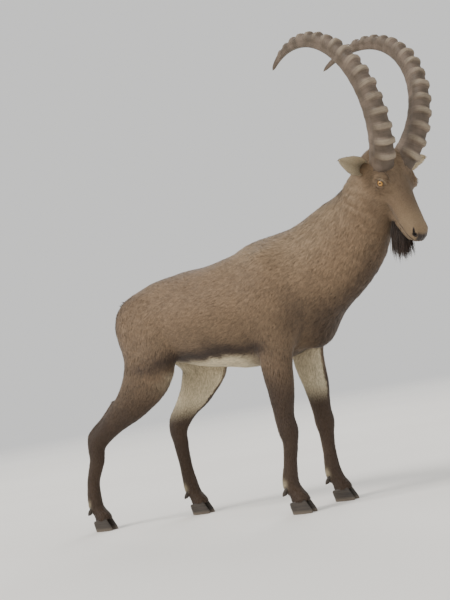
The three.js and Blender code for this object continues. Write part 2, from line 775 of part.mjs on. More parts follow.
// A tube of few sides along points, thin at both ends
function bead(points, radius, sides) {
  const count = points.length;
  return loft(points.map((p, i) => {
    const run = points[Math.min(i + 1, count - 1)].clone().sub(points[Math.max(i - 1, 0)]).normalize();
    const across = run.clone().cross(axes.out).normalize();
    const up = across.clone().cross(run);
    const size = radius * Math.sin((Math.PI * (i + 0.5)) / count) ** 0.5;
    return Array.from({ length: sides }, (_, k) => {
      const angle = (2 * Math.PI * k) / sides;
      return p.clone()
        .addScaledVector(across, size * Math.cos(angle))
        .addScaledVector(up, size * Math.sin(angle));
    });
  }));
}

// What lies between the upper and the lower lid: an almond-shaped prism through the lids
function lidOpening({ centre, outward }) {
  const front = axes.along.clone().addScaledVector(outward, -axes.along.dot(outward)).normalize();
  const upward = outward.clone().cross(front).normalize();
  return loft([EYE_RADIUS - LID.reach, EYE_RADIUS + LID.reach].map((depth) => (
    Array.from({ length: LID.steps }, (_, i) => {
      const angle = (2 * Math.PI * i) / LID.steps;
      return centre.clone()
        .addScaledVector(outward, depth)
        .addScaledVector(front, LID.halfWidth * Math.cos(angle))
        .addScaledVector(upward, LID.halfHeight * Math.sin(angle) * Math.abs(Math.sin(angle)) ** 0.3);
    })
  )));
}

// A lip: a low rim round the muzzle, above or below the line of the mouth
function lip(rise) {
  const points = Array.from({ length: LIP.steps }, (_, i) => {
    const angle = THREE.MathUtils.degToRad(LIP.sweepAngle * ((2 * i) / (LIP.steps - 1) - 1));
    const back = MOUTH.drop * (1 - Math.cos(angle)) * 0.6;
    const start = onHead(LIP.centre, 0, MOUTH.level + rise - back);
    const way = headDirection(Math.cos(angle), Math.sin(angle), 0);
    return onSkin(start, way).addScaledVector(way, -LIP.sunk);
  });
  return bead(points, LIP.thick, LIP.sides);
}

// The line of the mouth: a thin curved blade across the muzzle, only as deep as the groove
function mouthLine(skin) {
  const { corner, front, level, drop, height, reach } = MOUTH;
  const middle = (corner + front) / 2;
  const shape = new THREE.Shape();
  shape.moveTo(corner, level - drop);
  shape.quadraticCurveTo(middle, level + height / 2, front, level + height / 2);
  shape.lineTo(front, level - height / 2);
  shape.quadraticCurveTo(middle, level - height / 2, corner, level - drop);
  const blade = new THREE.ExtrudeGeometry(shape, { depth: 2 * reach, bevelEnabled: false, curveSegments: 6 });
  blade.translate(0, 0, -reach);
  const toHead = new THREE.Matrix4().makeBasis(
    axes.along.clone().multiplyScalar(HEAD.scale),
    axes.out.clone().multiplyScalar(HEAD.scale),
    axes.left.clone().multiplyScalar(-HEAD.scale),
  ).setPosition(HEAD.at);
  blade.applyMatrix4(toHead);
  return solidOfGeometry(blade).subtract(grown(skin, -MOUTH.depth));
}

// A nostril: a slanted oval pit in the front of the nose
function nostril(side) {
  const inward = headDirection(0.75, side * 0.5, -0.35);
  const level = headDirection(0.4, -side * 0.8, 0.3);
  const up = inward.clone().cross(level).normalize();
  level.copy(up).cross(inward);
  const mouth = onSkin(onHead(150, side * NOSTRIL.y, NOSTRIL.z), headDirection(1, side * 0.25, 0.1));
  const geometry = new THREE.SphereGeometry(1, 7, 5);
  geometry.applyMatrix4(new THREE.Matrix4().makeBasis(
    inward.multiplyScalar(NOSTRIL.deep),
    level.multiplyScalar(NOSTRIL.wide),
    up.multiplyScalar(NOSTRIL.high),
  ).setPosition(mouth));
  return solidOfGeometry(geometry);
}

// An eyeball's centre lies EYE_DEPTH under the skin of the orbit
function eyeCentre(side) {
  const outward = headDirection(0.22, side, 0.16);
  const start = onHead(2, side * 30, 15);
  return { centre: onSkin(start, outward).addScaledVector(outward, -EYE_DEPTH), outward };
}

// A horn: it rises, sweeps back in a long arc and spreads, with a knot across its front at each year's growth
function hornRings(side) {
  const steps = HORN.knots * 2 + 4;
  const at = onHead(HORN.root.x, side * HORN.root.y, HORN.root.z);
  const outward = axes.left.clone().multiplyScalar(side);
  const rings = [];
  for (let i = 0; i <= steps; i++) {
    const s = i / steps;
    const rise = THREE.MathUtils.degToRad(HORN.riseAngle - HORN.turn * s ** HORN.turnPower);
    const spread = THREE.MathUtils.degToRad(HORN.spreadAtRoot - HORN.spreadTurn * s);
    const back = axes.along.clone().multiplyScalar(-Math.cos(rise)).addScaledVector(axes.out, Math.sin(rise));
    const run = back.multiplyScalar(Math.cos(spread)).addScaledVector(outward, Math.sin(spread));
    const front = axes.left.clone().cross(run).normalize();
    const across = run.clone().cross(front).normalize();
    const size = 0.1 + 0.9 * (1 - s) ** 0.72;
    const onKnot = i > 1 && i < steps - 4 && i % 2 === 0 ? 1 : 0;
    rings.push(hornRing(at, front, across, size, onKnot));
    at.addScaledVector(run, HORN.length / steps);
  }
  return rings;
}

// One section: broad and flat in front, where the knot stands out, and narrow behind
function hornRing(at, front, across, size, knot) {
  return Array.from({ length: 10 }, (_, i) => {
    const angle = (2 * Math.PI * (i + 0.5)) / 10;
    const c = Math.cos(angle);
    const s = Math.sin(angle);
    const square = 1 / (Math.abs(c) ** 3 + Math.abs(s) ** 3) ** (1 / 3);
    const lift = knot * Math.max(c + 0.2, 0) * 10 * size ** 0.6;
    const deep = HORN.baseDeep * size * square * c + lift;
    const wide = HORN.baseWide * size * square * s * (c < 0 ? 0.86 : 1) * (1 + 0.06 * knot);
    return at.clone().addScaledVector(front, deep).addScaledVector(across, wide);
  });
}

// An ear: a leaf-shaped shell, rolled nearly shut at its root and open towards its tip
function ear(side) {
  const root = onHead(-86, side * 48, -24);
  const run = headDirection(0.12, side, 0.42);
  const facing = headDirection(0.8, side * 0.15, 0.6);
  const open = facing.addScaledVector(run, -facing.dot(run)).normalize();
  const across = run.clone().cross(open).normalize();
  const sheet = (away) => EAR_ROWS.map(([s, width, halfRoll]) => {
    const roll = THREE.MathUtils.degToRad(halfRoll);
    const radius = ((EAR.width / 2) * width) / Math.sin(Math.min(roll, Math.PI / 2));
    const spine = root.clone().addScaledVector(run, s * EAR.length).addScaledVector(open, -12 * s * s);
    return Array.from({ length: EAR.columns + 1 }, (_, c) => {
      const t = (2 * c) / EAR.columns - 1;
      const out = radius + away * (1 - 0.6 * t * t) * (1 - 0.6 * s);
      return spine.clone()
        .addScaledVector(across, out * Math.sin(t * roll))
        .addScaledVector(open, radius - out * Math.cos(t * roll));
    });
  });
  return shell(sheet(EAR.thickness / 2), sheet(-EAR.thickness / 2));
}

// An ear stands on the head, clear of the horn beside it and of the neck
function clearEar(form, horn) {
  return ahead(form, CUTS.head).subtract(headSeat).subtract(grown(horn, SEAT_GAP));
}

const headSeat = addHead();
const rumpPiece = addTrunk();

for (const [name, leg] of Object.entries(FORE_LEGS)) addForeleg(name, leg);
for (const [name, leg] of Object.entries(HIND_LEGS)) addHindleg(name, leg);

for (const side of [-1, 1]) {
  const name = side < 0 ? 'right' : 'left';
  const horn = loft(hornRings(side));
  addPiece(`horn_${name}`, horn.subtract(headSeat), COLOURS.horn, 0.7);
  addPiece(`ear_${name}`, clearEar(ear(side), horn), COLOURS.coat);
}

// The tail, short and tufted, hangs close to the rump: a core with locks that lie down along it
function addTail() {
  const core = sweep([
    [point(-294, 0, 792), 20, 22],
    [point(-348, 0, 780), 18, 21],
    [point(-376, 0, 742), 13, 15],
    [point(-382, 0, 712), 5, 7],
  ], 10);
  const down = point(0, 0, -1);
  let tail = solid(polygonise(core.distance, [-422, -45, 680], [-257, 45, 830], { x: 18, y: 18, z: 20 }));
  for (let i = 0; i < TAIL_LOCK.count; i++) {
    const share = i / (TAIL_LOCK.count - 1);
    const spread = [0, 1, -1][i % 3];
    const root = point(-344 - 20 * share, spread * 9, 784 - 44 * share);
    const run = point(-0.55 + 0.3 * share, spread * 0.3 + 0.08 * draw(), -0.8);
    const facing = point(-1, spread * 0.9, 0.3);
    const size = { ...TAIL_LOCK, length: TAIL_LOCK.length * (1 + 0.12 * draw()) };
    tail = tail.add(lock(root, run, facing, down, size));
  }
  addPiece('tail', tail.subtract(grown(rumpPiece, SEAT_GAP)), COLOURS.darkCoat);
}

// The beard hangs from the chin: a short core, and rows of locks, the longest at the back
function addBeard() {
  const down = point(0, 0, -1);
  const root = onHead(112, 0, -34);
  const core = sweep([
    [root, 24, 16],
    [root.clone().add(point(-6, 0, -24)), 20, 12],
    [root.clone().add(point(-12, 0, -52)), 8, 5],
  ], 10, axes.left);
  const low = root.toArray().map((v, m) => v - [50, 45, 80][m]);
  const high = root.toArray().map((v, m) => v + [50, 45, 40][m]);
  let beard = solid(polygonise(core.distance, low, high, { x: 14, y: 12, z: 16 }));
  for (let row = 0; row < BEARD.rows; row++) {
    for (let column = 0; column < BEARD.across; column++) {
      const forward = row / (BEARD.rows - 1);
      const side = (2 * column) / (BEARD.across - 1) - 1 + 0.15 * draw();
      const start = onHead(BEARD.back + BEARD.run * forward, side * BEARD.half, BEARD.under - 3 * draw());
      const run = point(0.1 * draw() - 0.1, 0, -1)
        .addScaledVector(axes.left, 0.16 * side)
        .addScaledVector(axes.out, -0.3);
      const facing = axes.left.clone().multiplyScalar(side + 0.2 * draw()).addScaledVector(axes.along, 0.5);
      const length = BEARD.length * (1.08 - 0.42 * forward - 0.16 * side * side + 0.07 * draw());
      const width = BEARD.width * (1 - 0.2 * forward);
      beard = beard.add(lock(start, run, facing, down, { ...BEARD, length, width }));
    }
  }
  addPiece('beard', beard.subtract(headSeat), COLOURS.beard);
}

addTail();
addBeard();

group.position.set(-STANCE_CENTRE.x, -STANCE_CENTRE.y, 0);

export default group;
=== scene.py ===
"""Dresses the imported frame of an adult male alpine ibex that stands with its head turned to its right.

The skin repeats the implicit form that the solids were cut from: sweeps along the bones and ellipsoids for
the muscles, joined smoothly. It lies under the solids by the depth of the coat. Tufts of hair then grow from
it, and horns, eyes, lids, ears, hooves, beard and tail are made finer than the solids that they replace.

All shapes are worked out in millimetres in the stance: +X forward, +Y to the animal's left, +Z up, with the
hooves on z = 0. Meshes are stored in metres in the shared frame.
"""

import logging
import math
from dataclasses import dataclass, field
from enum import Enum
from typing import Any, Callable, Optional, Sequence

import bmesh
import bpy
import numpy as np
from mathutils import Matrix, Vector

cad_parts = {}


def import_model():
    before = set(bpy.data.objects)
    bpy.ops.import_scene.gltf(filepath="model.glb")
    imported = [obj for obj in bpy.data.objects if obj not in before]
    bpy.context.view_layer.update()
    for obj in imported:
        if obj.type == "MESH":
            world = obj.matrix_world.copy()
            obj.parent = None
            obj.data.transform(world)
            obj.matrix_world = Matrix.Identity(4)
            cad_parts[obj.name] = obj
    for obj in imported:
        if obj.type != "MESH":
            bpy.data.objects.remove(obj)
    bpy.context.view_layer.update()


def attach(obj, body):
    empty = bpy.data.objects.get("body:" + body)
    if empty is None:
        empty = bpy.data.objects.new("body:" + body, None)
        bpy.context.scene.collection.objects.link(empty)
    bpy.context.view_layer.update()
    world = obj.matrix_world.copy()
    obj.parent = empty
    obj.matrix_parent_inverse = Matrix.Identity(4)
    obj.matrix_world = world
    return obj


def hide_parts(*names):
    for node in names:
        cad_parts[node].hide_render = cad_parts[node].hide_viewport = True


log = logging.getLogger("ibex")

Array = np.ndarray
Distance = Callable[[Array], Array]
Object = bpy.types.Object
Node = bpy.types.Node
Socket = bpy.types.NodeSocket

SEED = 11
BODY = "root"
PHOTO_HEIGHT = 600
MILLIMETRES = 1000.0

# The stance's point that stands over the frame's origin, in millimetres
STANCE_CENTRE = np.array([175.0, -13.0, 0.0])

# A distance beyond every form, and how far from its box a form still blends
FAR = 1000.0
REACH = 90.0
SWEEP_STEPS = 6

# Steps of a ray that looks for a surface
RAY = np.arange(0, 60, 0.25)

# How far the middle of a foot stands from the middle plane
FOOT_APART = 105.0

# Hair shorter than this, in millimetres, is left to the skin's bump
SHORTEST = 3.3

# The solids of the legs that the skin stands for
LEG_PARTS = ("forearm", "fore_cannon", "pastern_fore", "thigh", "shin", "hind_cannon", "pastern_hind")
LEG_NODES = tuple(f"{part}_{side}" for part in LEG_PARTS for side in ("left", "right"))

# The bake map, and the side of the patch that one tuft takes up on it
BAKE_MAP = "OFBake"
PATCH = 0.003


def unit(v: Sequence[float]) -> Array:
    """Scales a vector, or the vectors in an array's last axis, to length one."""
    a = np.asarray(v, dtype=float)
    return a / np.maximum(np.linalg.norm(a, axis=-1, keepdims=True), 1e-9)


def smoothstep(low: float, high: float, x: Array) -> Array:
    """Rises smoothly from 0 at low to 1 at high."""
    t = np.clip((x - low) / (high - low), 0.0, 1.0)
    return t * t * (3.0 - 2.0 * t)


def hill(x: Array, centre: float, half: float) -> Array:
    """A soft hill of height one round a centre."""
    return np.exp(-(((x - centre) / half) ** 2))


def linear(hex_colour: str) -> Array:
    """Turns an sRGB colour of six hex digits into linear red, green and blue from 0 to 1."""
    s = np.array([int(hex_colour[i : i + 2], 16) for i in (0, 2, 4)]) / 255.0
    return np.where(s <= 0.04045, s / 12.92, ((s + 0.055) / 1.055) ** 2.4)


def side_name(side: int) -> str:
    """The word for a side: 1 is the animal's left, -1 its right."""
    return "left" if side > 0 else "right"


def in_frame(points: Array) -> Array:
    """Moves stance points in millimetres into the shared frame in metres."""
    return (np.asarray(points) - STANCE_CENTRE) / MILLIMETRES


class Pelt(Enum):
    """Colours of the coat, of a grown male in its short coat."""

    BODY = "745f49"
    FLANK = "62503d"
    DARK = "33261d"
    DORSAL = "443426"
    PALE = "cfc1a2"
    NAPE = "917d62"
    FACE = "6d5a45"
    MUZZLE = "857158"
    EAR_INSIDE = "c4b394"
    # The nostrils' inside: painted shade, nearly black, deep in the hole
    BARE = "2b221d"
    NOSTRIL = "080605"
    BEARD = "35271e"

    @property
    def rgb(self) -> Array:
        """The colour in linear values."""
        return linear(self.value)


@dataclass(frozen=True)
class HeadPlace:
    """Where the head is carried, and how it is turned.

    Attributes:
        at: The head's own origin, between the eyes, in the stance.
        yaw: Turn about the upright, in degrees, to the animal's left.
        pitch: How far the face points down, in degrees.
        scale: Its length against that of a mean adult.
    """

    at: tuple = (768.0, -54.0, 962.0)
    yaw: float = -24.0
    pitch: float = 64.0
    scale: float = 1.08

    @property
    def axes(self) -> Array:
        """The head's own directions in the stance.

        Returns:
            Rows: along the face, to its left, and out of the forehead.
        """
        yaw, pitch = math.radians(self.yaw), math.radians(self.pitch)
        forward = np.array([math.cos(yaw), math.sin(yaw), 0.0])
        left = np.array([-math.sin(yaw), math.cos(yaw), 0.0])
        up = np.array([0.0, 0.0, 1.0])
        along = forward * math.cos(pitch) - up * math.sin(pitch)
        out = forward * math.sin(pitch) + up * math.cos(pitch)
        return np.array([along, left, out])

    def point(self, *p: float) -> Array:
        """A point of the head, given in the mean adult's millimetres, in the stance."""
        return np.array(self.at) + self.scale * (np.array(p, dtype=float) @ self.axes)

    def direction(self, *d: float) -> Array:
        """A direction of the head in the stance."""
        return unit(np.array(d, dtype=float) @ self.axes)

    def own(self, points: Array) -> Array:
        """Stance points in the head's own millimetres."""
        return (points - np.array(self.at)) @ self.axes.T / self.scale


HEAD = HeadPlace()


# Implicit forms of the body


def joined(a: Array, b: Array, blend: float) -> Array:
    """The lower of two distances, rounded off where they come within the blend of each other."""
    h = np.maximum(blend - np.abs(a - b), 0.0) / blend
    return np.minimum(a, b) - h * h * blend / 4


def oval_distance(k: Array, slope: Array, least: Any) -> Array:
    """Distance to an oval from a measure that is 1 on it, that measure's slope and the least half axis."""
    return np.where(slope < 1e-6, -least, k * (k - 1) / np.maximum(slope, 1e-6))


def gradient(distance: Distance, points: Array, step: float = 0.8) -> Array:
    """The slope of a distance at points, in rows."""
    ways = step * np.eye(3)
    return np.stack([(distance(points + e) - distance(points - e)) / (2 * step) for e in ways], axis=1)


def drawn_on(distance: Distance, points: Array, passes: int) -> Array:
    """Moves points onto the surface where a distance is zero.

    Args:
        distance: The signed distance of rows of points.
        points: Rows of points near the surface.
        passes: How often they are moved.

    Returns:
        The moved points.
    """
    p = points.copy()
    for _ in range(passes):
        g = gradient(distance, p)
        size = np.maximum((g * g).sum(axis=1), 0.05)
        p -= (distance(p) / size)[:, None] * g
    return p


def way_out(distance: Distance, start: Array, way: Array) -> Array:
    """The first point on a straight way out of a body where its distance isn't below zero."""
    ray = start + RAY[:, None] * way
    return ray[int(np.argmax(distance(ray) >= 0))]


@dataclass
class Form:
    """One rounded form of the body, with how softly it joins those before it, and the corners of its box."""

    blend: float
    low: Array = field(init=False, repr=False)
    high: Array = field(init=False, repr=False)

    def near(self, points: Array) -> Array:
        """Marks the points within reach of the form."""
        return np.all((points >= self.low - REACH) & (points <= self.high + REACH), axis=1)

    def distance(self, points: Array) -> Array:
        """Signed distance of points to the form, below zero inside."""
        raise NotImplementedError


@dataclass
class Sweep(Form):
    """An oval section carried along stations of x, y, z, half depth and half width."""

    stations: Sequence[Sequence[float]] = ()
    side: Sequence[float] = (0.0, 1.0, 0.0)
    flow: int = 1
    fine: Array = field(init=False, repr=False)

    def __post_init__(self) -> None:
        """Works out the fine stations and the box."""
        rows = np.array(self.stations, dtype=float)
        last = len(rows) - 1
        fine = []
        for i in range(last):
            a, b, c, d = rows[max(i - 1, 0)], rows[i], rows[i + 1], rows[min(i + 2, last)]
            for k in range(SWEEP_STEPS):
                t = k / SWEEP_STEPS
                bend = (2 * a - 5 * b + 4 * c - d) * t * t + (3 * b - a - 3 * c + d) * t**3
                fine.append(0.5 * (2 * b + (c - a) * t + bend))
        fine.append(rows[last])
        self.fine = np.array(fine)
        around = np.maximum(self.fine[:, 3], self.fine[:, 4])[:, None]
        self.low = (self.fine[:, :3] - around).min(axis=0)
        self.high = (self.fine[:, :3] + around).max(axis=0)
        self.side = unit(self.side)

    def distance(self, points: Array) -> Array:
        """Signed distance of points to the sweep."""
        return self.distance_and_run(points)[0]

    def distance_and_run(self, points: Array) -> tuple[Array, Array]:
        """Distances, and the direction of the nearest stretch.

        Args:
            points: Rows of stance points.

        Returns:
            The signed distances, and rows of directions.
        """
        best, run = np.full(len(points), FAR), np.zeros((len(points), 3))
        for p, q in zip(self.fine[:-1], self.fine[1:]):
            reach = max(p[3], p[4], q[3], q[4]) + REACH
            low, high = np.minimum(p[:3], q[:3]) - reach, np.maximum(p[:3], q[:3]) + reach
            rows = np.flatnonzero(np.all((points > low) & (points < high), axis=1))
            if not len(rows):
                continue
            d = q[:3] - p[:3]
            offset = points[rows] - p[:3]
            t = np.clip(offset @ d / max(d @ d, 1e-9), 0.0, 1.0)
            offset -= t[:, None] * d
            deep = p[3] + t * (q[3] - p[3])
            wide = p[4] + t * (q[4] - p[4])
            across = (offset @ self.side) ** 2
            rest = np.maximum((offset * offset).sum(axis=1) - across, 0.0)
            k = np.sqrt(across / wide**2 + rest / deep**2)
            slope = np.sqrt(across / wide**4 + rest / deep**4)
            value = oval_distance(k, slope, np.minimum(wide, deep))
            better = value < best[rows]
            best[rows[better]] = value[better]
            run[rows[better]] = unit(d)
        return best, run


@dataclass
class Muscle(Form):
    """An ellipsoid, with its middle, its half axes and their directions in rows."""

    centre: Sequence[float] = (0.0, 0.0, 0.0)
    radii: Sequence[float] = (1.0, 1.0, 1.0)
    axes: Array = field(default_factory=lambda: np.eye(3))

    def __post_init__(self) -> None:
        """Works out the box."""
        self.centre = np.array(self.centre, dtype=float)
        self.radii = np.array(self.radii, dtype=float)
        self.low = self.centre - self.radii.max()
        self.high = self.centre + self.radii.max()

    def distance(self, points: Array) -> Array:
        """Signed distance of points to the ellipsoid.

        Args:
            points: Rows of stance points.

        Returns:
            The distances, below zero inside.
        """
        own = (points - self.centre) @ np.asarray(self.axes).T
        k = np.sqrt(((own / self.radii) ** 2).sum(axis=1))
        slope = np.sqrt(((own / self.radii**2) ** 2).sum(axis=1))
        return oval_distance(k, slope, self.radii.min())


def leg_sweep(rows: Sequence[tuple], fetlock: float, hoof: float, side: int) -> Sweep:
    """The main sweep of a leg, which ends in the same foot on all four legs.

    Args:
        rows: Rows of x, distance from the middle plane, z, half depth and half width, down to the fetlock.
        fetlock: The fetlock's x.
        hoof: The hoof's x.
        side: 1 for a left leg, -1 for a right one.

    Returns:
        The sweep.
    """
    foot = [
        (fetlock + 14, FOOT_APART, 68, 27, 27),
        (hoof - 4, FOOT_APART, 42, 33, 31),
        (hoof, FOOT_APART, 24, 32, 30),
    ]
    return Sweep(30, [(x, y * side, *r) for x, y, *r in [*rows, *foot]])


@dataclass(frozen=True)
class ForeLeg:
    """Joints of a foreleg: x of each, and the side it stands on."""

    side: int
    shoulder: float
    elbow: float
    knee: float
    hoof: float

    def forms(self) -> list[Form]:
        """The leg's forms.

        Returns:
            One sweep from the shoulder to the hoof.
        """
        fetlock = self.hoof - 30
        rows = [
            (self.shoulder, 92, 690, 84, 52),
            (self.elbow, 106, 520, 66, 46),
            ((self.elbow + self.knee) / 2, 110, 400, 48, 37),
            (self.knee - 3, 109, 315, 36, 31),
            (self.knee + 2, 108, 268, 36, 33),
            (self.knee + 2, 107, 226, 28, 26),
            ((self.knee + fetlock) / 2, 106, 162, 25, 23),
            (fetlock, FOOT_APART, 98, 30, 28),
        ]
        return [leg_sweep(rows, fetlock, self.hoof, self.side)]


@dataclass(frozen=True)
class HindLeg:
    """Joints of a hind leg: x of each, and the heights of stifle and hock."""

    side: int
    hip: float
    stifle: float
    stifle_up: float
    hock: float
    hock_up: float
    hoof: float

    def forms(self) -> list[Form]:
        """The leg's forms.

        Returns:
            One sweep from the hip to the hoof, and the tendon behind the hock.
        """
        fetlock = self.hoof - 32
        low = self.hock * 0.25 + fetlock * 0.75 - 6
        rows = [
            (self.hip - 6, 74, 690, 112, 66),
            (self.stifle, 108, self.stifle_up + 20, 108, 62),
            (self.stifle * 0.72 + self.hock * 0.28, 114, self.stifle_up * 0.62 + self.hock_up * 0.38, 72, 48),
            (self.stifle * 0.3 + self.hock * 0.7, 112, self.stifle_up * 0.26 + self.hock_up * 0.74, 42, 32),
            (self.hock, 109, self.hock_up, 38, 29),
            (self.hock * 0.8 + fetlock * 0.2 - 4, 108, self.hock_up - 62, 31, 25),
            (low, 106, 178, 26, 23),
            (fetlock, FOOT_APART, 99, 30, 28),
        ]
        lean = unit((self.stifle - self.hock, 0, self.stifle_up - self.hock_up))
        heel = np.array([self.hock - 22, 110 * self.side, self.hock_up + 26])
        stretches = ((165, 18, 15), (80, 13, 11), (0, 15, 14))
        tendon = [(*(heel + far * lean), deep, wide) for far, deep, wide in stretches]
        tendon.append((self.hock - 18, 109 * self.side, self.hock_up - 18, 14, 14))
        return [leg_sweep(rows, fetlock, self.hoof, self.side), Sweep(14, tendon)]


FORE_LEGS = {
    "right": ForeLeg(-1, shoulder=334, elbow=292, knee=288, hoof=296),
    "left": ForeLeg(1, shoulder=342, elbow=292, knee=308, hoof=342),
}
HIND_LEGS = {
    "right": HindLeg(-1, hip=-236, stifle=-214, stifle_up=535, hock=-495, hock_up=312, hoof=-520),
    "left": HindLeg(1, hip=-232, stifle=-134, stifle_up=545, hock=-288, hock_up=318, hoof=-240),
}
LEGS = (*FORE_LEGS.values(), *HIND_LEGS.values())


class Flesh:
    """All forms of the body, joined one after the other."""

    # How far one part's hold on a point reaches into the next, in millimetres
    SOFTNESS = 22.0
    LIE_SOFTNESS = 26.0

    # How strongly the coat on the sides of the body hangs down
    HANG = 0.34

    def __init__(self) -> None:
        """Makes the forms, in the order in which the solids join them."""
        self.trunk = self._trunk()
        self.neck = self._neck()
        self.head = self._head()
        self.legs = [form for leg in LEGS for form in leg.forms()]
        self.forms: list[Form] = [*self.trunk, *self.neck, *self.head, *self.legs]

    @staticmethod
    def _trunk() -> list[Form]:
        """The trunk's forms.

        Returns:
            The spine's sweep, then withers, brisket, shoulders and rump.
        """
        spine = [
            (-305, 0, 726, 58, 52), (-258, 0, 718, 106, 92), (-180, 0, 704, 144, 126),
            (-70, 0, 690, 168, 152), (60, 0, 678, 184, 186), (190, 0, 680, 200, 186),
            (300, 0, 698, 192, 158), (385, 0, 690, 128, 112),
        ]
        return [
            Sweep(40, spine, flow=-1),
            Muscle(50, (262, 0, 828), (110, 46, 54)),
            Muscle(50, (400, 0, 600), (72, 70, 84)),
            *[Muscle(50, (318, s * 108, 700), (84, 62, 150)) for s in (-1, 1)],
            *[Muscle(60, (-238, s * 78, 674), (104, 62, 112)) for s in (-1, 1)],
        ]

    @staticmethod
    def _neck() -> list[Form]:
        """The neck's form.

        Returns:
            One sweep from the trunk to the back of the head.
        """
        stations = [
            (262, 0, 744, 140, 116), (410, 0, 754, 166, 118), (550, -16, 820, 150, 102),
            (650, -38, 900, 109, 84),
            (*HEAD.point(-58, 0, -12), 84, 66),
        ]
        return [Sweep(50, stations, side=(0.1, 1, 0), flow=-1)]

    @staticmethod
    def _head() -> list[Form]:
        """The head's forms, given in its own millimetres.

        Returns:
            The sweeps of face and jaw, then brows, cheeks, roots of the horns and nostrils.
        """

        def sweep(blend: float, rows: Sequence[tuple]) -> Form:
            """A sweep from rows of x, z, half depth and half width."""
            stations = [(*HEAD.point(x, 0, z), a * HEAD.scale, b * HEAD.scale) for x, z, a, b in rows]
            return Sweep(blend, stations, side=HEAD.axes[1], flow=-1)

        def pair(x: float, y: float, z: float, radii: Sequence[float], blend: float) -> list[Form]:
            """The same muscle on both sides."""
            sizes = np.array(radii) * HEAD.scale
            return [Muscle(blend, HEAD.point(x, s * y, z), sizes, HEAD.axes) for s in (-1, 1)]

        face = [
            (-75, 0, 46, 46), (-40, 4, 52, 52), (0, 4, 48, 51), (45, 1, 42, 43), (90, -2, 36, 38),
            (130, -4, 32, 35), (156, -6, 28, 33), (170, -8, 22, 27),
        ]
        jaw = [
            (-30, -38, 42, 34), (10, -41, 34, 28), (60, -41, 25, 24), (105, -38, 19, 21),
            (140, -35, 15, 20), (158, -34, 11, 15),
        ]
        return [
            sweep(20, face),
            sweep(16, jaw),
            *pair(0, 38, 16, (36, 30, 29), 18),
            *pair(-20, 32, -36, (38, 22, 34), 18),
            *pair(-50, 30, 36, (34, 26, 26), 16),
            *pair(154, 14, 0, (20, 14, 17), 12),
        ]

    def distance(self, points: Array) -> Array:
        """Signed distance of points to the outside of the coat.

        Args:
            points: Rows of stance points.

        Returns:
            The distances, below zero inside.
        """
        best = np.full(len(points), FAR)
        for form in self.forms:
            rows = np.flatnonzero(form.near(points))
            if len(rows):
                best[rows] = joined(form.distance(points[rows]), best[rows], form.blend)
        return best

    def normals(self, points: Array) -> Array:
        """The outward direction of the body at points near its surface."""
        return unit(gradient(self.distance, points))

    def weights(self, points: Array) -> dict[str, Array]:
        """How much each part of the body holds the points, adding up to one.

        Args:
            points: Rows of stance points.

        Returns:
            Arrays named trunk, neck, head, foreleg and hindleg.
        """
        parts = {
            "trunk": [self.trunk[0]],
            "neck": self.neck,
            "head": self.head[:2],
            "foreleg": self.legs[:2],
            "hindleg": self.legs[2:],
        }
        values = {name: np.min([f.distance(points) for f in forms], axis=0) for name, forms in parts.items()}
        lowest = np.min(list(values.values()), axis=0)
        raw = {name: np.exp(-np.clip(d - lowest, 0, 300) / self.SOFTNESS) for name, d in values.items()}
        total = np.sum(list(raw.values()), axis=0)
        return {name: share / total for name, share in raw.items()}

    def lie(self, points: Array, normals: Array) -> Array:
        """The direction in which the coat lies at points of the skin.

        Args:
            points: Rows of stance points.
            normals: The outward directions there.

        Returns:
            Rows of unit vectors along the skin.
        """
        total = np.zeros_like(points)
        sweeps = [form for form in self.forms if isinstance(form, Sweep)]
        found = [form.distance_and_run(points) for form in sweeps]
        lowest = np.min([d for d, _ in found], axis=0)
        for form, (d, run) in zip(sweeps, found):
            total += form.flow * run * np.exp(-np.clip(d - lowest, 0, 400) / self.LIE_SOFTNESS)[:, None]
        down = np.array([0.0, 0.0, -1.0])
        total = unit(total) + self.HANG * np.abs(normals[:, 1:2]) * down
        total -= (total * normals).sum(axis=1, keepdims=True) * normals
        return unit(total)


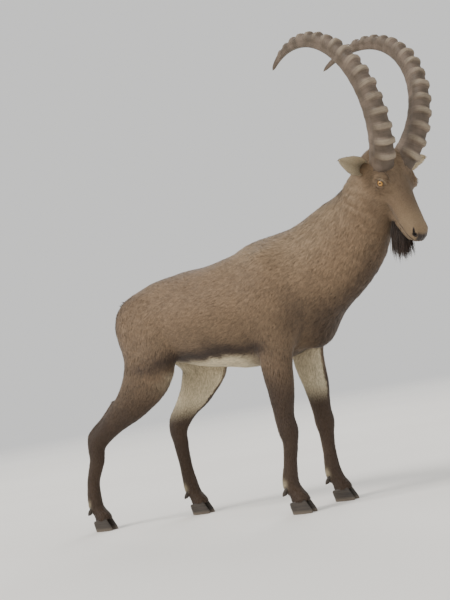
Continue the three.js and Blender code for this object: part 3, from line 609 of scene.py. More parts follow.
@dataclass(frozen=True)
class SurfaceNet:
    """Turns a signed distance into faces, with one point for each grid cell that the surface crosses."""

    low: tuple
    high: tuple
    cell: float
    coarse: int = 5

    def build(self, distance: Distance) -> tuple[Array, Array]:
        """Builds the surface.

        Args:
            distance: Signed distance of rows of points.

        Returns:
            The points and the quads.
        """
        value = self._sample(distance)
        inside = value < 0
        count = np.array(value.shape)
        corners = list(np.ndindex(2, 2, 2))
        number = np.zeros(tuple(count - 1), dtype=np.int8)
        for corner in corners:
            number += inside[tuple(slice(c, n - 1 + c) for c, n in zip(corner, count))]
        cells = np.argwhere((number > 0) & (number < 8))
        index = np.full(tuple(count - 1), -1, dtype=np.int64)
        index[tuple(cells.T)] = np.arange(len(cells))
        total, crossings = np.zeros((len(cells), 3)), np.zeros(len(cells))
        at = {c: value[tuple((cells + c).T)] for c in corners}
        for a in corners:
            for axis in range(3):
                if a[axis]:
                    continue
                b = tuple(v + (m == axis) for m, v in enumerate(a))
                crossed = (at[a] < 0) != (at[b] < 0)
                t = at[a][crossed] / (at[a][crossed] - at[b][crossed])
                total[crossed] += np.array(a) + t[:, None] * np.eye(3)[axis]
                crossings[crossed] += 1
        points = np.array(self.low) + (cells + total / crossings[:, None]) * self.cell
        return points, self._quads(inside, index)

    def _sample(self, distance: Distance) -> Array:
        """Measures the grid: coarsely everywhere, and finely near the surface.

        Args:
            distance: Signed distance of rows of points.

        Returns:
            A distance for each corner of the cells.
        """

        def spread(grid: Array) -> Array:
            """Repeats the coarse grid's values on the fine one."""
            return grid.repeat(self.coarse, 0).repeat(self.coarse, 1).repeat(self.coarse, 2)

        wide = self.cell * self.coarse
        blocks = tuple(np.ceil((np.array(self.high) - np.array(self.low)) / wide).astype(int))
        grid = np.indices(blocks).reshape(3, -1).T
        rough = distance(np.array(self.low) + (grid + 0.5) * wide).reshape(blocks)
        value = spread(rough)
        spots = np.argwhere(spread(np.abs(rough) < wide * 1.5))
        value[tuple(spots.T)] = distance(np.array(self.low) + spots * self.cell)
        value[value == 0] = 1e-6
        return value

    @staticmethod
    def _quads(inside: Array, index: Array) -> Array:
        """Joins the points of the four cells round each edge that the surface crosses.

        Args:
            inside: Whether each corner of the cells is inside.
            index: The point number of each cell.

        Returns:
            The quads, turned outward.
        """
        quads = []
        for axis in range(3):
            u, v = (axis + 1) % 3, (axis + 2) % 3
            first = [slice(1, n - 1) for n in inside.shape]
            second = list(first)
            first[axis] = slice(0, inside.shape[axis] - 1)
            second[axis] = slice(1, inside.shape[axis])
            a, b = inside[tuple(first)], inside[tuple(second)]
            spots = np.argwhere(a != b)
            spots += [0 if m == axis else 1 for m in range(3)]
            leaves = a[a != b]
            ring = []
            for p, q in ((-1, -1), (0, -1), (0, 0), (-1, 0)):
                c = spots.copy()
                c[:, u] += p
                c[:, v] += q
                ring.append(index[tuple(c.T)])
            ring = np.stack(ring, axis=1)
            ring[~leaves] = ring[~leaves][:, ::-1]
            quads.append(ring)
        return np.concatenate(quads)


# Meshes


def placed(name: str, data: Any) -> Object:
    """Puts a mesh, a lamp or a camera into the scene.

    Args:
        name: The object's name.
        data: What it shows.

    Returns:
        The object, at the origin.
    """
    obj = bpy.data.objects.new(name, data)
    bpy.context.scene.collection.objects.link(obj)
    return obj


def mesh_object(name: str, points: Array, faces: Sequence) -> Object:
    """Makes a smooth object from stance points.

    Args:
        name: Its name.
        points: Rows of stance points in millimetres.
        faces: Rows of point numbers.

    Returns:
        The object, at the origin, with its place in its mesh.
    """
    mesh = bpy.data.meshes.new(name)
    mesh.from_pydata(in_frame(points).tolist(), [], faces.tolist() if isinstance(faces, Array) else faces)
    mesh.update()
    mesh.shade_smooth()
    return placed(name, mesh)


def mesh_points(obj: Object) -> Array:
    """The points of an object's mesh, in the stance."""
    return in_stance(obj.data.vertices, "co")


def in_stance(items: Any, key: str) -> Array:
    """Reads a place from each point or face of a mesh, in the stance.

    Args:
        items: The mesh's points or faces.
        key: The name of the place.

    Returns:
        Rows of stance points.
    """
    flat = np.empty(len(items) * 3, dtype=np.float32)
    items.foreach_get(key, flat)
    return flat.reshape(-1, 3).astype(float) * MILLIMETRES + STANCE_CENTRE


def set_points(obj: Object, points: Array) -> None:
    """Moves the points of an object's mesh."""
    obj.data.vertices.foreach_set("co", in_frame(points).astype(np.float32).ravel())
    obj.data.update()


def store(obj: Object, domain: str = "POINT", **values: Any) -> None:
    """Stores attributes of an object's mesh by their names.

    Args:
        obj: The object.
        domain: POINT or FACE.
        **values: One number for each point or face, or one for all of them, or rows of three, which are
            linear colours under the name pelt and vectors under any other.
    """
    count = len(obj.data.vertices if domain == "POINT" else obj.data.polygons)
    for name, given in values.items():
        rows, kind, key = np.asarray(given, dtype=float), "FLOAT_VECTOR", "vector"
        if rows.ndim < 2:
            rows, kind, key = np.broadcast_to(rows, count), "FLOAT", "value"
        elif name == "pelt":
            rows, kind, key = np.concatenate([rows, np.ones((count, 1))], axis=1), "FLOAT_COLOR", "color"
        attribute = obj.data.attributes.new(name, kind, domain)
        attribute.data.foreach_set(key, np.ascontiguousarray(rows, dtype=np.float32).ravel())


def counts(items: Any, key: str) -> Array:
    """Reads a whole number from each face or corner of a mesh.

    Args:
        items: The mesh's faces or corners.
        key: The number's name.

    Returns:
        The numbers.
    """
    numbers = np.empty(len(items), dtype=np.int64)
    items.foreach_get(key, numbers)
    return numbers


def corner_points(obj: Object) -> Array:
    """The point number at each corner of an object's faces."""
    return counts(obj.data.loops, "vertex_index")


def lay_map(obj: Object, uv: Array, name: str = BAKE_MAP) -> None:
    """Gives an object a map.

    Args:
        obj: The object.
        uv: A place on the map for each corner of its faces.
        name: The map's name.
    """
    obj.data.uv_layers.new(name=name).uv.foreach_set("vector", uv.astype(np.float32).ravel())


def grid_faces(rows: int, columns: int, closed: bool = False) -> list[tuple]:
    """Quads of a grid of points.

    Args:
        rows: How many rows.
        columns: How many points in a row.
        closed: Whether each row closes on itself.

    Returns:
        The quads.
    """
    faces = []
    for r in range(rows - 1):
        for c in range(columns if closed else columns - 1):
            a, b = r * columns, (r + 1) * columns
            d = (c + 1) % columns
            faces.append((a + c, a + d, b + d, b + c))
    return faces


def capped_faces(rows: int, columns: int) -> list[tuple]:
    """Faces of a tube with both ends closed."""
    ends = [tuple(reversed(range(columns))), tuple(range((rows - 1) * columns, rows * columns))]
    return grid_faces(rows, columns, closed=True) + ends


def moved_faces(faces: Sequence[tuple], first: int) -> list[tuple]:
    """Faces with their point numbers moved on to a first one."""
    return [tuple(v + first for v in face) for face in faces]


def waves(points: Array, seed: int, longest: float, octaves: int) -> Array:
    """Smooth noise in space from a few seeded waves, from about -1 to 1.

    Args:
        points: Rows of points.
        seed: The draw.
        longest: The longest wave, in the points' own units.
        octaves: How many sizes of wave are added.

    Returns:
        One value for each point.
    """
    rng = np.random.default_rng(seed)
    total = np.zeros(len(points))
    for octave in range(octaves):
        for _ in range(4):
            way = unit(rng.normal(size=3)) * 2 * math.pi / longest * 2**octave * rng.uniform(0.7, 1.3)
            total += np.sin(points @ way + rng.uniform(0, 6.3)) * 0.5**octave
    return total / 4.0


# Nodes


def add_node(tree: Any, kind: str, inputs: Optional[dict] = None, **settings: Any) -> Node:
    """Adds a node, and links or sets its inputs.

    Args:
        tree: The node tree.
        kind: The node's type.
        inputs: Values or other nodes' sockets by the name or number of an input.
        **settings: The node's own settings.

    Returns:
        The node.
    """
    node = tree.nodes.new(kind)
    for name, value in settings.items():
        setattr(node, name, value)
    for key, value in (inputs or {}).items():
        socket = node.inputs[key]
        if isinstance(value, Socket):
            tree.links.new(value, socket)
        else:
            socket.default_value = value
    return node


@dataclass
class Finish:
    """A material, built from nodes on one shader."""

    name: str
    roughness: float = 0.8
    specular: float = 0.3
    sheen: float = 0.0
    clear: float = 0.0
    material: bpy.types.Material = field(init=False, repr=False)
    tree: bpy.types.NodeTree = field(init=False, repr=False)
    shader: Node = field(init=False, repr=False)

    def __post_init__(self) -> None:
        """Makes the material with one shader, then its pattern."""
        self.material = bpy.data.materials.new(self.name)
        self.material.use_nodes = True
        self.tree = self.material.node_tree
        self.tree.nodes.clear()
        self.shader = self.node("ShaderNodeBsdfPrincipled", {"Roughness": self.roughness})
        self.shader.inputs["Specular IOR Level"].default_value = self.specular
        self.shader.inputs["Sheen Weight"].default_value = self.sheen
        self.shader.inputs["Coat Weight"].default_value = self.clear
        self.node("ShaderNodeOutputMaterial", {"Surface": self.shader.outputs[0]})
        self.pattern()

    def pattern(self) -> None:
        """Adds the nodes of the pattern."""

    def node(self, kind: str, inputs: Optional[dict] = None, **settings: Any) -> Node:
        """Adds a node to the material."""
        return add_node(self.tree, kind, inputs, **settings)

    def place(self) -> Socket:
        """Reads the place on the piece, in metres."""
        return self.node("ShaderNodeTexCoord").outputs["Object"]

    def attribute(self, name: str, output: str = "Fac") -> Socket:
        """Reads an attribute of the mesh."""
        return self.node("ShaderNodeAttribute", attribute_name=name).outputs[output]

    def noise(self, place: Socket, scale: float, detail: float) -> Socket:
        """Reads a noise at a place."""
        return self.node("ShaderNodeTexNoise", {"Vector": place, "Scale": scale, "Detail": detail}).outputs[0]

    def math(self, operation: str, a: Any, b: Any = 0.0) -> Socket:
        """Works out one number from two."""
        return self.node("ShaderNodeMath", {0: a, 1: b}, operation=operation).outputs[0]

    def vector(self, operation: str, a: Any, b: Any = (0.0,) * 3, output: Any = 0) -> Socket:
        """Works out a vector or a number from two vectors."""
        return self.node("ShaderNodeVectorMath", {0: a, 1: b}, operation=operation).outputs[output]

    def range(self, value: Any, low: float, high: float, new: float, end: float, **settings: str) -> Any:
        """Maps a value from one range to another."""
        sockets = {"Value": value, "From Min": low, "From Max": high, "To Min": new, "To Max": end}
        return self.node("ShaderNodeMapRange", sockets, **settings).outputs[0]

    def grey(self, value: Socket) -> Socket:
        """Turns a value into a grey."""
        return self.node("ShaderNodeCombineColor", {0: value, 1: value, 2: value}).outputs[0]

    def mix(self, share: Any, a: Any, b: Any, blend: str = "MIX") -> Socket:
        """Mixes two colours.

        Args:
            share: The second colour's share.
            a: The first colour.
            b: The second colour.
            blend: How they are blended.

        Returns:
            The mixed colour.
        """
        node = self.node("ShaderNodeMix", data_type="RGBA", blend_type=blend)
        for socket, value in ((node.inputs[0], share), (node.inputs[6], a), (node.inputs[7], b)):
            if isinstance(value, Socket):
                self.tree.links.new(value, socket)
            else:
                socket.default_value = (*value, 1.0) if socket.type == "RGBA" else value
        return node.outputs[2]

    def set(self, name: str, value: Socket) -> None:
        """Links an input of the shader."""
        self.tree.links.new(value, self.shader.inputs[name])

    def bump(self, height: Socket, strength: float, distance: float) -> None:
        """Adds bump from a height, with its distance in metres."""
        node = self.node("ShaderNodeBump", {"Height": height, "Strength": strength, "Distance": distance})
        self.set("Normal", node.outputs[0])


class SkinFinish(Finish):
    """Short hair that lies flat: the pelt's colour, streaked along the lie of the coat."""

    def pattern(self) -> None:
        """Adds streaks along the attribute lie, and dark bare skin where the attribute bare says so, with
        painted shade, nearly black, in the nostrils.
        """
        place = self.place()
        lie = self.attribute("lie", "Vector")
        normal = self.node("ShaderNodeNewGeometry").outputs["True Normal"]
        across = self.vector("CROSS_PRODUCT", lie, normal)
        along, aside = (self.vector("DOT_PRODUCT", place, way, "Value") for way in (lie, across))
        stretched = {0: self.math("MULTIPLY", along, 55.0), 1: self.math("MULTIPLY", aside, 520.0)}
        hair = self.noise(self.node("ShaderNodeCombineXYZ", stretched).outputs[0], 1.0, 3.0)
        patch = self.noise(place, 38.0, 2.0)
        patchy = self.range(patch, 0.3, 0.7, -0.1, 0.1)
        shade = self.math("ADD", self.range(hair, 0.25, 0.75, 0.62, 1.22), patchy)
        furred = self.mix(1.0, self.attribute("pelt", "Color"), self.grey(shade), "MULTIPLY")
        leather = self.node("ShaderNodeTexVoronoi", {"Vector": place, "Scale": 620.0}).outputs[0]
        bare = self.attribute("bare")
        # Bare skin, and painted shade, nearly black, inside the nostrils
        bare_skin_and_nostril_shade = self.mix(self.range(bare, 1.0, 2.0, 0.0, 1.0), Pelt.BARE.rgb, Pelt.NOSTRIL.rgb)
        self.set("Base Color", self.mix(self.range(bare, 0.0, 1.0, 0.0, 1.0), furred, bare_skin_and_nostril_shade))
        self.set("Roughness", self.range(bare, 0.0, 1.0, self.roughness, 0.42))
        grain = self.math("MULTIPLY", self.math("MULTIPLY", bare, leather), 1.6)
        self.bump(self.math("ADD", hair, grain), 0.5, 0.0016)


class TuftFinish(Finish):
    """Hair in tufts: the pelt's colour, darkened towards the root with painted shade deep in the coat, and
    lighter at the tip.
    """

    def pattern(self) -> None:
        """Adds the shade of each tuft, and the painted shade that darkens it towards the root and lightens it
        towards the tip.
        """
        along = self.node("ShaderNodeSeparateXYZ", {0: self.attribute("leaf", "Vector")}).outputs[0]
        drawn = self.range(self.attribute("shade"), 0.0, 1.0, -0.27, 0.25)
        vary = self.math("MULTIPLY", drawn, self.attribute("vary"))
        # Painted shade: darker towards the root, deep in the coat, and lighter at the tip
        root_shade_to_tip = self.range(along, 0.0, 1.0, 0.66, 1.3)
        shade = self.math("MULTIPLY", root_shade_to_tip, self.math("ADD", vary, 1.0))
        self.set("Base Color", self.mix(1.0, self.attribute("pelt", "Color"), self.grey(shade), "MULTIPLY"))


class HornFinish(Finish):
    """Dry horn: pale worn knots, dark grooves and fine lines along and across."""

    def pattern(self) -> None:
        """Adds colour from the attribute knot, and bump of growth lines from the horn's own map."""
        place = self.node("ShaderNodeUVMap", uv_map=Horn.MAP).outputs[0]
        solid = self.place()
        growth = self.noise(self.vector("MULTIPLY", place, (1.6, 330.0, 1.0)), 1.0, 4.0)
        cloud = self.noise(solid, 26.0, 6.0)
        pits = self.noise(solid, 240.0, 3.0)
        knot = self.attribute("knot")
        body = self.mix(self.range(cloud, 0.35, 0.65, 0.0, 1.0), linear("564a3d"), linear("76675a"))
        worn = self.mix(self.range(knot, 0.25, 1.0, 0.0, 0.7), body, linear("988a76"))
        groove = self.mix(self.range(knot, -0.6, 0.0, 0.8, 0.0), worn, linear("2f261e"))
        lined = self.mix(self.range(growth, 0.45, 0.7, 0.0, 0.4), groove, linear("3a3027"))
        self.set("Base Color", self.mix(self.range(pits, 0.55, 0.75, 0.0, 0.3), lined, linear("2c241c")))
        self.set("Roughness", self.range(cloud, 0.3, 0.7, 0.52, 0.74))
        self.bump(self.math("ADD", growth, self.math("MULTIPLY", pits, 0.5)), 0.6, 0.0013)


class HoofFinish(Finish):
    """Hoof horn: dark, with growth lines round the claw and wear at the sole."""

    def pattern(self) -> None:
        """Adds rings by height and dust at the ground."""
        place = self.place()
        high = self.node("ShaderNodeSeparateXYZ", {0: place}).outputs[2]
        rings = self.noise(self.vector("MULTIPLY", place, (18.0, 18.0, 420.0)), 1.0, 3.0)
        horn = self.mix(self.range(rings, 0.3, 0.7, 0.0, 1.0), linear("29231e"), linear("3f372f"))
        self.set("Base Color", self.mix(self.range(high, 0.0, 0.014, 0.6, 0.0), horn, linear("7c7062")))
        self.bump(rings, 0.45, 0.001)


class EyeFinish(Finish):
    """The eye: amber iris, a level slit for a pupil, and a dark white of the eye."""

    def pattern(self) -> None:
        """Adds iris and pupil from the attribute gaze: across, up and outward, each from -1 to 1."""
        gaze = self.node("ShaderNodeSeparateXYZ", {0: self.attribute("gaze", "Vector")})
        across, up = gaze.outputs[0], gaze.outputs[1]
        squares = self.math("ADD", self.math("MULTIPLY", across, across), self.math("MULTIPLY", up, up))
        ring = self.math("SQRT", squares)
        wide = self.math("POWER", self.math("ABSOLUTE", self.math("DIVIDE", across, 0.44)), 4.0)
        tall = self.math("POWER", self.math("ABSOLUTE", self.math("DIVIDE", up, 0.15)), 2.0)
        pupil = self.range(self.math("ADD", wide, tall), 0.8, 1.15, 1.0, 0.0)
        turn = self.math("MULTIPLY", self.math("ARCTAN2", up, across), 7.0)
        fibres = self.noise(self.node("ShaderNodeCombineXYZ", {0: turn, 1: ring}).outputs[0], 3.0, 3.0)
        iris = self.mix(self.range(fibres, 0.35, 0.65, 0.0, 1.0), linear("8a5a1e"), linear("cf9a45"))
        iris = self.mix(self.range(ring, 0.56, 0.8, 0.0, 0.9), iris, linear("3a2410"))
        whole = self.mix(self.range(ring, 0.8, 0.86, 0.0, 1.0), iris, linear("2a1d16"))
        self.set("Base Color", self.mix(pupil, whole, linear("070605")))


class FloorFinish(Finish):
    """The plain pale floor, which fades into the background far off."""

    def pattern(self) -> None:
        """Adds a faint change of tone, and the fade."""
        place = self.place()
        tone = self.range(self.noise(place, 0.7, 1.0), 0.3, 0.7, 0.0, 1.0)
        self.set("Base Color", self.mix(tone, linear("dfdcd7"), linear("e3e1dc")))
        away = self.vector("LENGTH", place, output="Value")
        self.set("Alpha", self.range(away, 2.6, 16.0, 1.0, 0.0, interpolation_type="SMOOTHSTEP"))


class Finishes:
    """Every material of the scene, made once."""

    def __init__(self) -> None:
        """Makes the materials."""
        # Hair that lies flat, seen between the tufts
        self.skin = SkinFinish("short_hair", 0.85, 0.22, 0.1)
        # Tufts of the coat
        self.tuft = TuftFinish("coat_hair", 0.68, 0.28, 0.15)
        # Long coarse hair of the beard, and the lashes
        self.long = TuftFinish("beard_hair", 0.6, 0.3, 0.1)
        # Dry knotted horn
        self.horn = HornFinish("horn", 0.6, 0.35)
        # Worn hoof horn
        self.hoof = HoofFinish("hoof", 0.5, 0.4)
        # Wet eye
        self.eye = EyeFinish("eye", 0.2, 0.25, clear=0.7)
        # Plain pale floor
        self.floor = FloorFinish("floor", 0.9, 0.2)


def finish_piece(obj: Object, finish: Finish, slot: str, *nodes: str) -> None:
    """Gives a piece its material and its body, hides the solids that it replaces, and reports it.

    Args:
        obj: The piece.
        finish: Its material.
        slot: Not used.
        *nodes: Names of the solids that it stands for.
    """
    if not obj.data.materials:
        obj.data.materials.append(finish.material)
    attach(obj, BODY)
    if nodes:
        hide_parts(*nodes)
    log.info("%s: %d faces", obj.name, len(obj.data.polygons))


# The skin


class Region(Enum):
    """Stretches of the coat, each made as one piece."""

    HEAD = 0
    NECK = 1
    CHEST = 2
    BARREL = 3
    RUMP = 4
    FORELEGS = 5
    HINDLEGS = 6


@dataclass
class Eye:
    """One eyeball in its socket.

    Attributes:
        depth: Of its centre under the outside of the coat.
        tilt: Turn of the opening against the line of the face, in degrees.
        half_width: Half the opening from corner to corner.
        upper: Height of the upper lid's arch.
        lower: Depth of the lower lid's arch.
    """

    side: int
    radius: float = 16.0
    depth: float = 14.0
    tilt: float = 24.0
    half_width: float = 14.0
    upper: float = 7.6
    lower: float = 6.8
    centre: Array = field(init=False, repr=False)
    outward: Array = field(init=False, repr=False)
    long: Array = field(init=False, repr=False)
    short: Array = field(init=False, repr=False)

    def place(self, flesh: Flesh) -> "Eye":
        """Finds the socket on the body.

        Args:
            flesh: The body.

        Returns:
            The eye.
        """
        self.outward = HEAD.direction(0.22, self.side, 0.16)
        outside = way_out(flesh.distance, HEAD.point(2, self.side * 30, 15), self.outward)
        self.centre = outside - self.depth * self.outward
        along, _, out = HEAD.axes
        front = unit(along - (along @ self.outward) * self.outward)
        upward = unit(out - (out @ self.outward) * self.outward - (out @ front) * front)
        turn = math.radians(self.tilt)
        self.long = front * math.cos(turn) + upward * math.sin(turn)
        self.short = upward * math.cos(turn) - front * math.sin(turn)
        return self

    def rim(self, angle: Array) -> Array:
        """The edge of the opening.

        Args:
            angle: Places round the edge.

        Returns:
            Rows of angles from the eye's axis, along its long and its short way.
        """
        high = np.where(np.sin(angle) > 0, self.upper, self.lower)
        tall = high * np.sin(angle) * np.abs(np.sin(angle)) ** 0.25
        flat = np.stack([self.half_width * np.cos(angle), tall], axis=1)
        size = np.linalg.norm(flat, axis=1, keepdims=True)
        return flat / size * np.arcsin(size / self.radius)

    def at(self, bent: Array, radius: Array) -> Array:
        """Points round the eyeball.

        Args:
            bent: Rows of angles from the eye's axis, along its long and its short way.
            radius: Distances from its centre.

        Returns:
            Rows of stance points.
        """
        far = np.maximum(np.linalg.norm(bent, axis=1), 1e-6)
        away = (bent[:, :1] * self.long + bent[:, 1:] * self.short) / far[:, None]
        way = np.cos(far)[:, None] * self.outward + np.sin(far)[:, None] * away
        return self.centre + radius[:, None] * way


@dataclass
class Mouth:
    """The line of the mouth in the head's own millimetres, which drops towards its corner."""

    corner: float = 112.0
    front: float = 186.0
    level: float = -19.0
    drop: float = 7.0

    def height(self, x: Array) -> Array:
        """Height of the line at a place along the face."""
        t = np.clip((x - self.corner) / (self.front - self.corner), 0.0, 1.0)
        return self.level - self.drop * (1 - t) ** 2


@dataclass
class Skin:
    """The animal's skin, with the folds of its face, the colours of its coat and the way that it lies."""

    # The grid that the skin is made on
    CELL = 6.0
    LOW = (-610.0, -250.0, 10.0)
    HIGH = (990.0, 250.0, 1130.0)

    # The box round a hoof, and how far the skin goes in under the hoof's upper edge
    FOOT_HIGH = 80.0
    FOOT_LONG = 110.0
    UNDER = 5.0

    # Thickness of the lids, how softly they join the face, and how far from the eye that matters
    LID = 1.6
    LID_BLEND = 7.0
    EYE_REACH = 60.0

    NODES = ("head", "neck", "chest", "barrel", "rump", *LEG_NODES)

    flesh: Flesh
    eyes: Sequence[Eye]
    mouth: Mouth

    def depth(self, points: Array) -> Array:
        """Depth of the coat over the skin.

        Args:
            points: Rows of stance points.

        Returns:
            Millimetres.
        """
        own = HEAD.own(points)
        on_head = smoothstep(-130, -40, own[:, 0]) * smoothstep(-120, -70, own[:, 2])
        on_head = on_head * (points[:, 0] > 560)
        muzzle = on_head * smoothstep(40, 120, own[:, 0])
        low = smoothstep(520, 380, points[:, 2]) * (points[:, 0] < 560)
        depth = 9.0 * (1 - on_head) * (1 - low) + 4.0 * on_head * (1 - muzzle) + 1.5 * muzzle
        return depth + 3.2 * low * (1 - on_head)

    def under_coat(self, points: Array) -> Array:
        """Signed distance of points to the body without its coat."""
        return self.flesh.distance(points) + self.depth(points)

    def distance(self, points: Array) -> Array:
        """Signed distance of points to the skin, with the lids and cut off within the hooves.

        Args:
            points: Rows of stance points.

        Returns:
            The distances, below zero inside.
        """
        value = self.under_coat(points)
        for leg in LEGS:
            foot = (points[:, 2] < self.FOOT_HIGH) & (np.abs(points[:, 0] - leg.hoof) < self.FOOT_LONG)
            rows = np.flatnonzero(foot & (points[:, 1] * leg.side > 0))
            above = Claw.coronet(points[rows, 0] - leg.hoof) - self.UNDER - points[rows, 2]
            value[rows] = np.maximum(value[rows], above)
        for eye in self.eyes:
            near = np.flatnonzero(np.abs(points - eye.centre).max(axis=1) < self.EYE_REACH)
            lid = np.linalg.norm(points[near] - eye.centre, axis=1) - (eye.radius + self.LID)
            value[near] = joined(lid, value[near], self.LID_BLEND)
        return value

    def reach(self, start: Array, way: Array) -> Array:
        """The point where the skin is reached from a point in the body."""
        return way_out(self.under_coat, start, way)

    def build(self) -> Object:
        """Makes the skin's mesh with all that the materials and the coat read from it.

        Returns:
            The skin.
        """
        points, quads = SurfaceNet(self.LOW, self.HIGH, self.CELL).build(self.distance)
        obj = mesh_object("skin", drawn_on(self.distance, points, 2), quads)
        self._refine(obj, self._on_head)
        self._refine(obj, self._on_eyes_or_lips)
        points = mesh_points(obj)
        on_head = self._on_head(points)
        points[on_head] = drawn_on(self.distance, points[on_head], 2)
        normals = self.flesh.normals(points)
        points = self._folds(points, normals)
        set_points(obj, points)
        self._attributes(obj, points, normals)
        return obj

    @staticmethod
    def _refine(obj: Object, chosen: Distance) -> None:
        """Halves the edges of a part of the mesh.

        Args:
            obj: The skin.
            chosen: Marks the points of the part.
        """
        marked = chosen(mesh_points(obj))
        bm = bmesh.new()
        bm.from_mesh(obj.data)
        bm.verts.ensure_lookup_table()
        edges = [e for e in bm.edges if marked[e.verts[0].index] and marked[e.verts[1].index]]
        bmesh.ops.subdivide_edges(bm, edges=edges, cuts=1, use_grid_fill=True)
        bmesh.ops.triangulate(bm, faces=[f for f in bm.faces if len(f.verts) > 4])
        bm.to_mesh(obj.data)
        bm.free()
        obj.data.shade_smooth()

    @staticmethod
    def _on_head(points: Array) -> Array:
        """Marks the points of the head."""
        own = HEAD.own(points)
        return (own[:, 0] > -110) & (own[:, 2] > -85) & (points[:, 0] > 620)

    def _on_eyes_or_lips(self, points: Array) -> Array:
        """Marks the points that need the finest mesh.

        Args:
            points: Rows of stance points.

        Returns:
            True round the eyes and on lips and nose.
        """
        own = HEAD.own(points)
        chosen = (own[:, 0] > 98) & (own[:, 2] > -60) & (points[:, 0] > 640)
        for eye in self.eyes:
            chosen |= np.linalg.norm(points - eye.centre, axis=1) < 44
        return chosen

    def _folds(self, points: Array, normals: Array) -> Array:
        """Presses mouth, nostrils and the forms of the face into the skin, and gives the body slow waves.

        Args:
            points: Rows of stance points.
            normals: The outward directions there.

        Returns:
            The moved points, with the lids open.
        """
        x, y, z = HEAD.own(points).T
        here = (points[:, 0] > 620) & (z > -90)
        lift = np.zeros(len(points))

        # Groove of the mouth between its lips
        off = z - self.mouth.height(x)
        along = smoothstep(self.mouth.corner - 6, self.mouth.corner + 8, x)
        lift -= 4.2 * hill(off, 0, 1.7) * along
        lift += 1.3 * (hill(off, 5.2, 3.2) + 0.8 * hill(off, -4.8, 2.8)) * along

        # Nostrils with their edges, and the groove between them
        hole = self.nostril(points)
        lift -= 7.0 * smoothstep(1.25, 0.4, hole)
        lift += 1.3 * hill(hole, 1.75, 0.4)
        lift -= 1.3 * hill(y, 0, 1.6) * smoothstep(166, 174, x) * (z < 8)

        # Hollows beside the nose, over the jaw and before the eye
        beside = np.abs(y) > 20
        lift -= 1.8 * (hill(np.abs(y), 24, 7) * hill(z, 10, 16) * hill(x, 62, 40))
        lift -= 2.6 * (hill(z, -26, 9) * hill(x, 34, 42)) * beside
        lift -= 1.6 * (hill(x, 34, 12) * hill(z, 8, 5) * beside)

        # Brow and socket
        for eye in self.eyes:
            q = points - eye.centre
            up, out = q @ eye.short, q @ eye.outward
            r = np.sqrt(np.maximum((q * q).sum(axis=1) - out * out, 0))
            lift += 1.9 * hill(r, 23, 4) * (0.35 + smoothstep(-8, 14, up)) * (out > -6)
            lift -= 1.3 * hill(r, 18.5, 2.2) * (out > -6)
        lift = lift * here
        lift += 1.2 * waves(points, SEED, 120.0, 2) * (1 - here)
        moved = points + lift[:, None] * normals
        for eye in self.eyes:
            self._open_lids(moved, eye)
        return moved

    @staticmethod
    def _open_lids(points: Array, eye: Eye) -> None:
        """Sinks the points between an eye's lids behind the front of its eyeball.

        Args:
            points: Rows of stance points, which are changed.
            eye: The eye.
        """
        q = points - eye.centre
        a, b, c = q @ eye.long, q @ eye.short, q @ eye.outward
        tall = np.where(b > 0, eye.upper, eye.lower) + 2.0
        rows = np.flatnonzero(((a / (eye.half_width + 1.0)) ** 2 + (b / tall) ** 2 < 1) & (c > 0))
        points[rows] = eye.centre + unit(q[rows]) * (eye.radius - 2.5)

    def _attributes(self, obj: Object, points: Array, normals: Array) -> None:
        """Stores what the materials and the coat read from the skin.

        Args:
            obj: The skin.
            points: Its points.
            normals: The outward directions there.
        """
        coat = Coat(points, normals, self.flesh.weights(points))
        lie = self.flesh.lie(points, normals)
        bare = self._bare(points)
        fur = coat.lengths(bare)
        lift = self._lift(points, lie, fur)
        store(obj, lie=lie, pelt=coat.colours(), bare=bare, fur=fur, lift=lift)
        store(obj, broad=coat.widths(), vary=coat.variety())
        coat.unwrap(obj)
        middles = in_stance(obj.data.polygons, "center")
        store(obj, "FACE", region=coat.regions(middles, self.flesh.weights(middles)))

    def _lift(self, points: Array, lie: Array, fur: Array) -> Array:
        """How far tufts stand off the skin in hollows, where they would sink in, as a slope."""
        tips = points + 0.8 * fur[:, None] * lie
        return np.clip((0.5 - self.distance(tips)) / np.maximum(fur, 1.0), 0, 0.7)

    def _bare(self, points: Array) -> Array:
        """How bare the skin is.

        Args:
            points: Rows of stance points.

        Returns:
            0 under the coat, 1 on nose, lips and lids, and 2 in the nostrils, which are painted nearly black
            as shade deep in the hole.
        """
        x, y, z = HEAD.own(points).T
        here = (points[:, 0] > 620) & (z > -70)
        hole = self.nostril(points)
        nose = smoothstep(160, 170, x) * smoothstep(21, 14, np.abs(y))
        nose = nose * smoothstep(-17, -10, z) * smoothstep(14, 4, z)
        along = smoothstep(self.mouth.corner - 4, self.mouth.corner + 8, x)
        lips = hill(z - self.mouth.height(x), 0, 3.0) * along
        bare = np.maximum(np.maximum(nose, 1.25 * lips), smoothstep(2.4, 1.6, hole))
        # Up to 2 inside a nostril, where the skin is painted nearly black as shade
        bare = bare + smoothstep(1.3, 0.7, hole)
        for eye in self.eyes:
            r = np.linalg.norm(points - eye.centre, axis=1)
            bare = np.maximum(bare, smoothstep(eye.radius + 3.4, eye.radius + 0.5, r))
        return np.clip(bare, 0, 2) * here

    def nostril(self, points: Array) -> Array:
        """How far points are from a nostril's middle.

        Args:
            points: Rows of stance points.

        Returns:
            1 at the nostril's edge, and more outside.
        """
        best = np.full(len(points), 9.0)
        for side in (-1, 1):
            way = HEAD.direction(1, side * 0.42, 0.16)
            q = points - self.reach(HEAD.point(146, side * 11, -3), way)
            level = unit(np.cross(HEAD.axes[2], way)) * side
            up = unit(np.cross(way, level)) * side
            a, b, c = q @ level, q @ up, q @ way
            round_part = np.sqrt(((a + 1) / 4.4) ** 2 + ((b + 1.5) / 3.4) ** 2 + (c / 9) ** 2)
            slit = np.sqrt(((a - 0.5 * b - 3.0) / 2.0) ** 2 + ((b - 4) / 6.0) ** 2 + (c / 11) ** 2)
            best = np.minimum(best, np.minimum(round_part, slit))
        return best


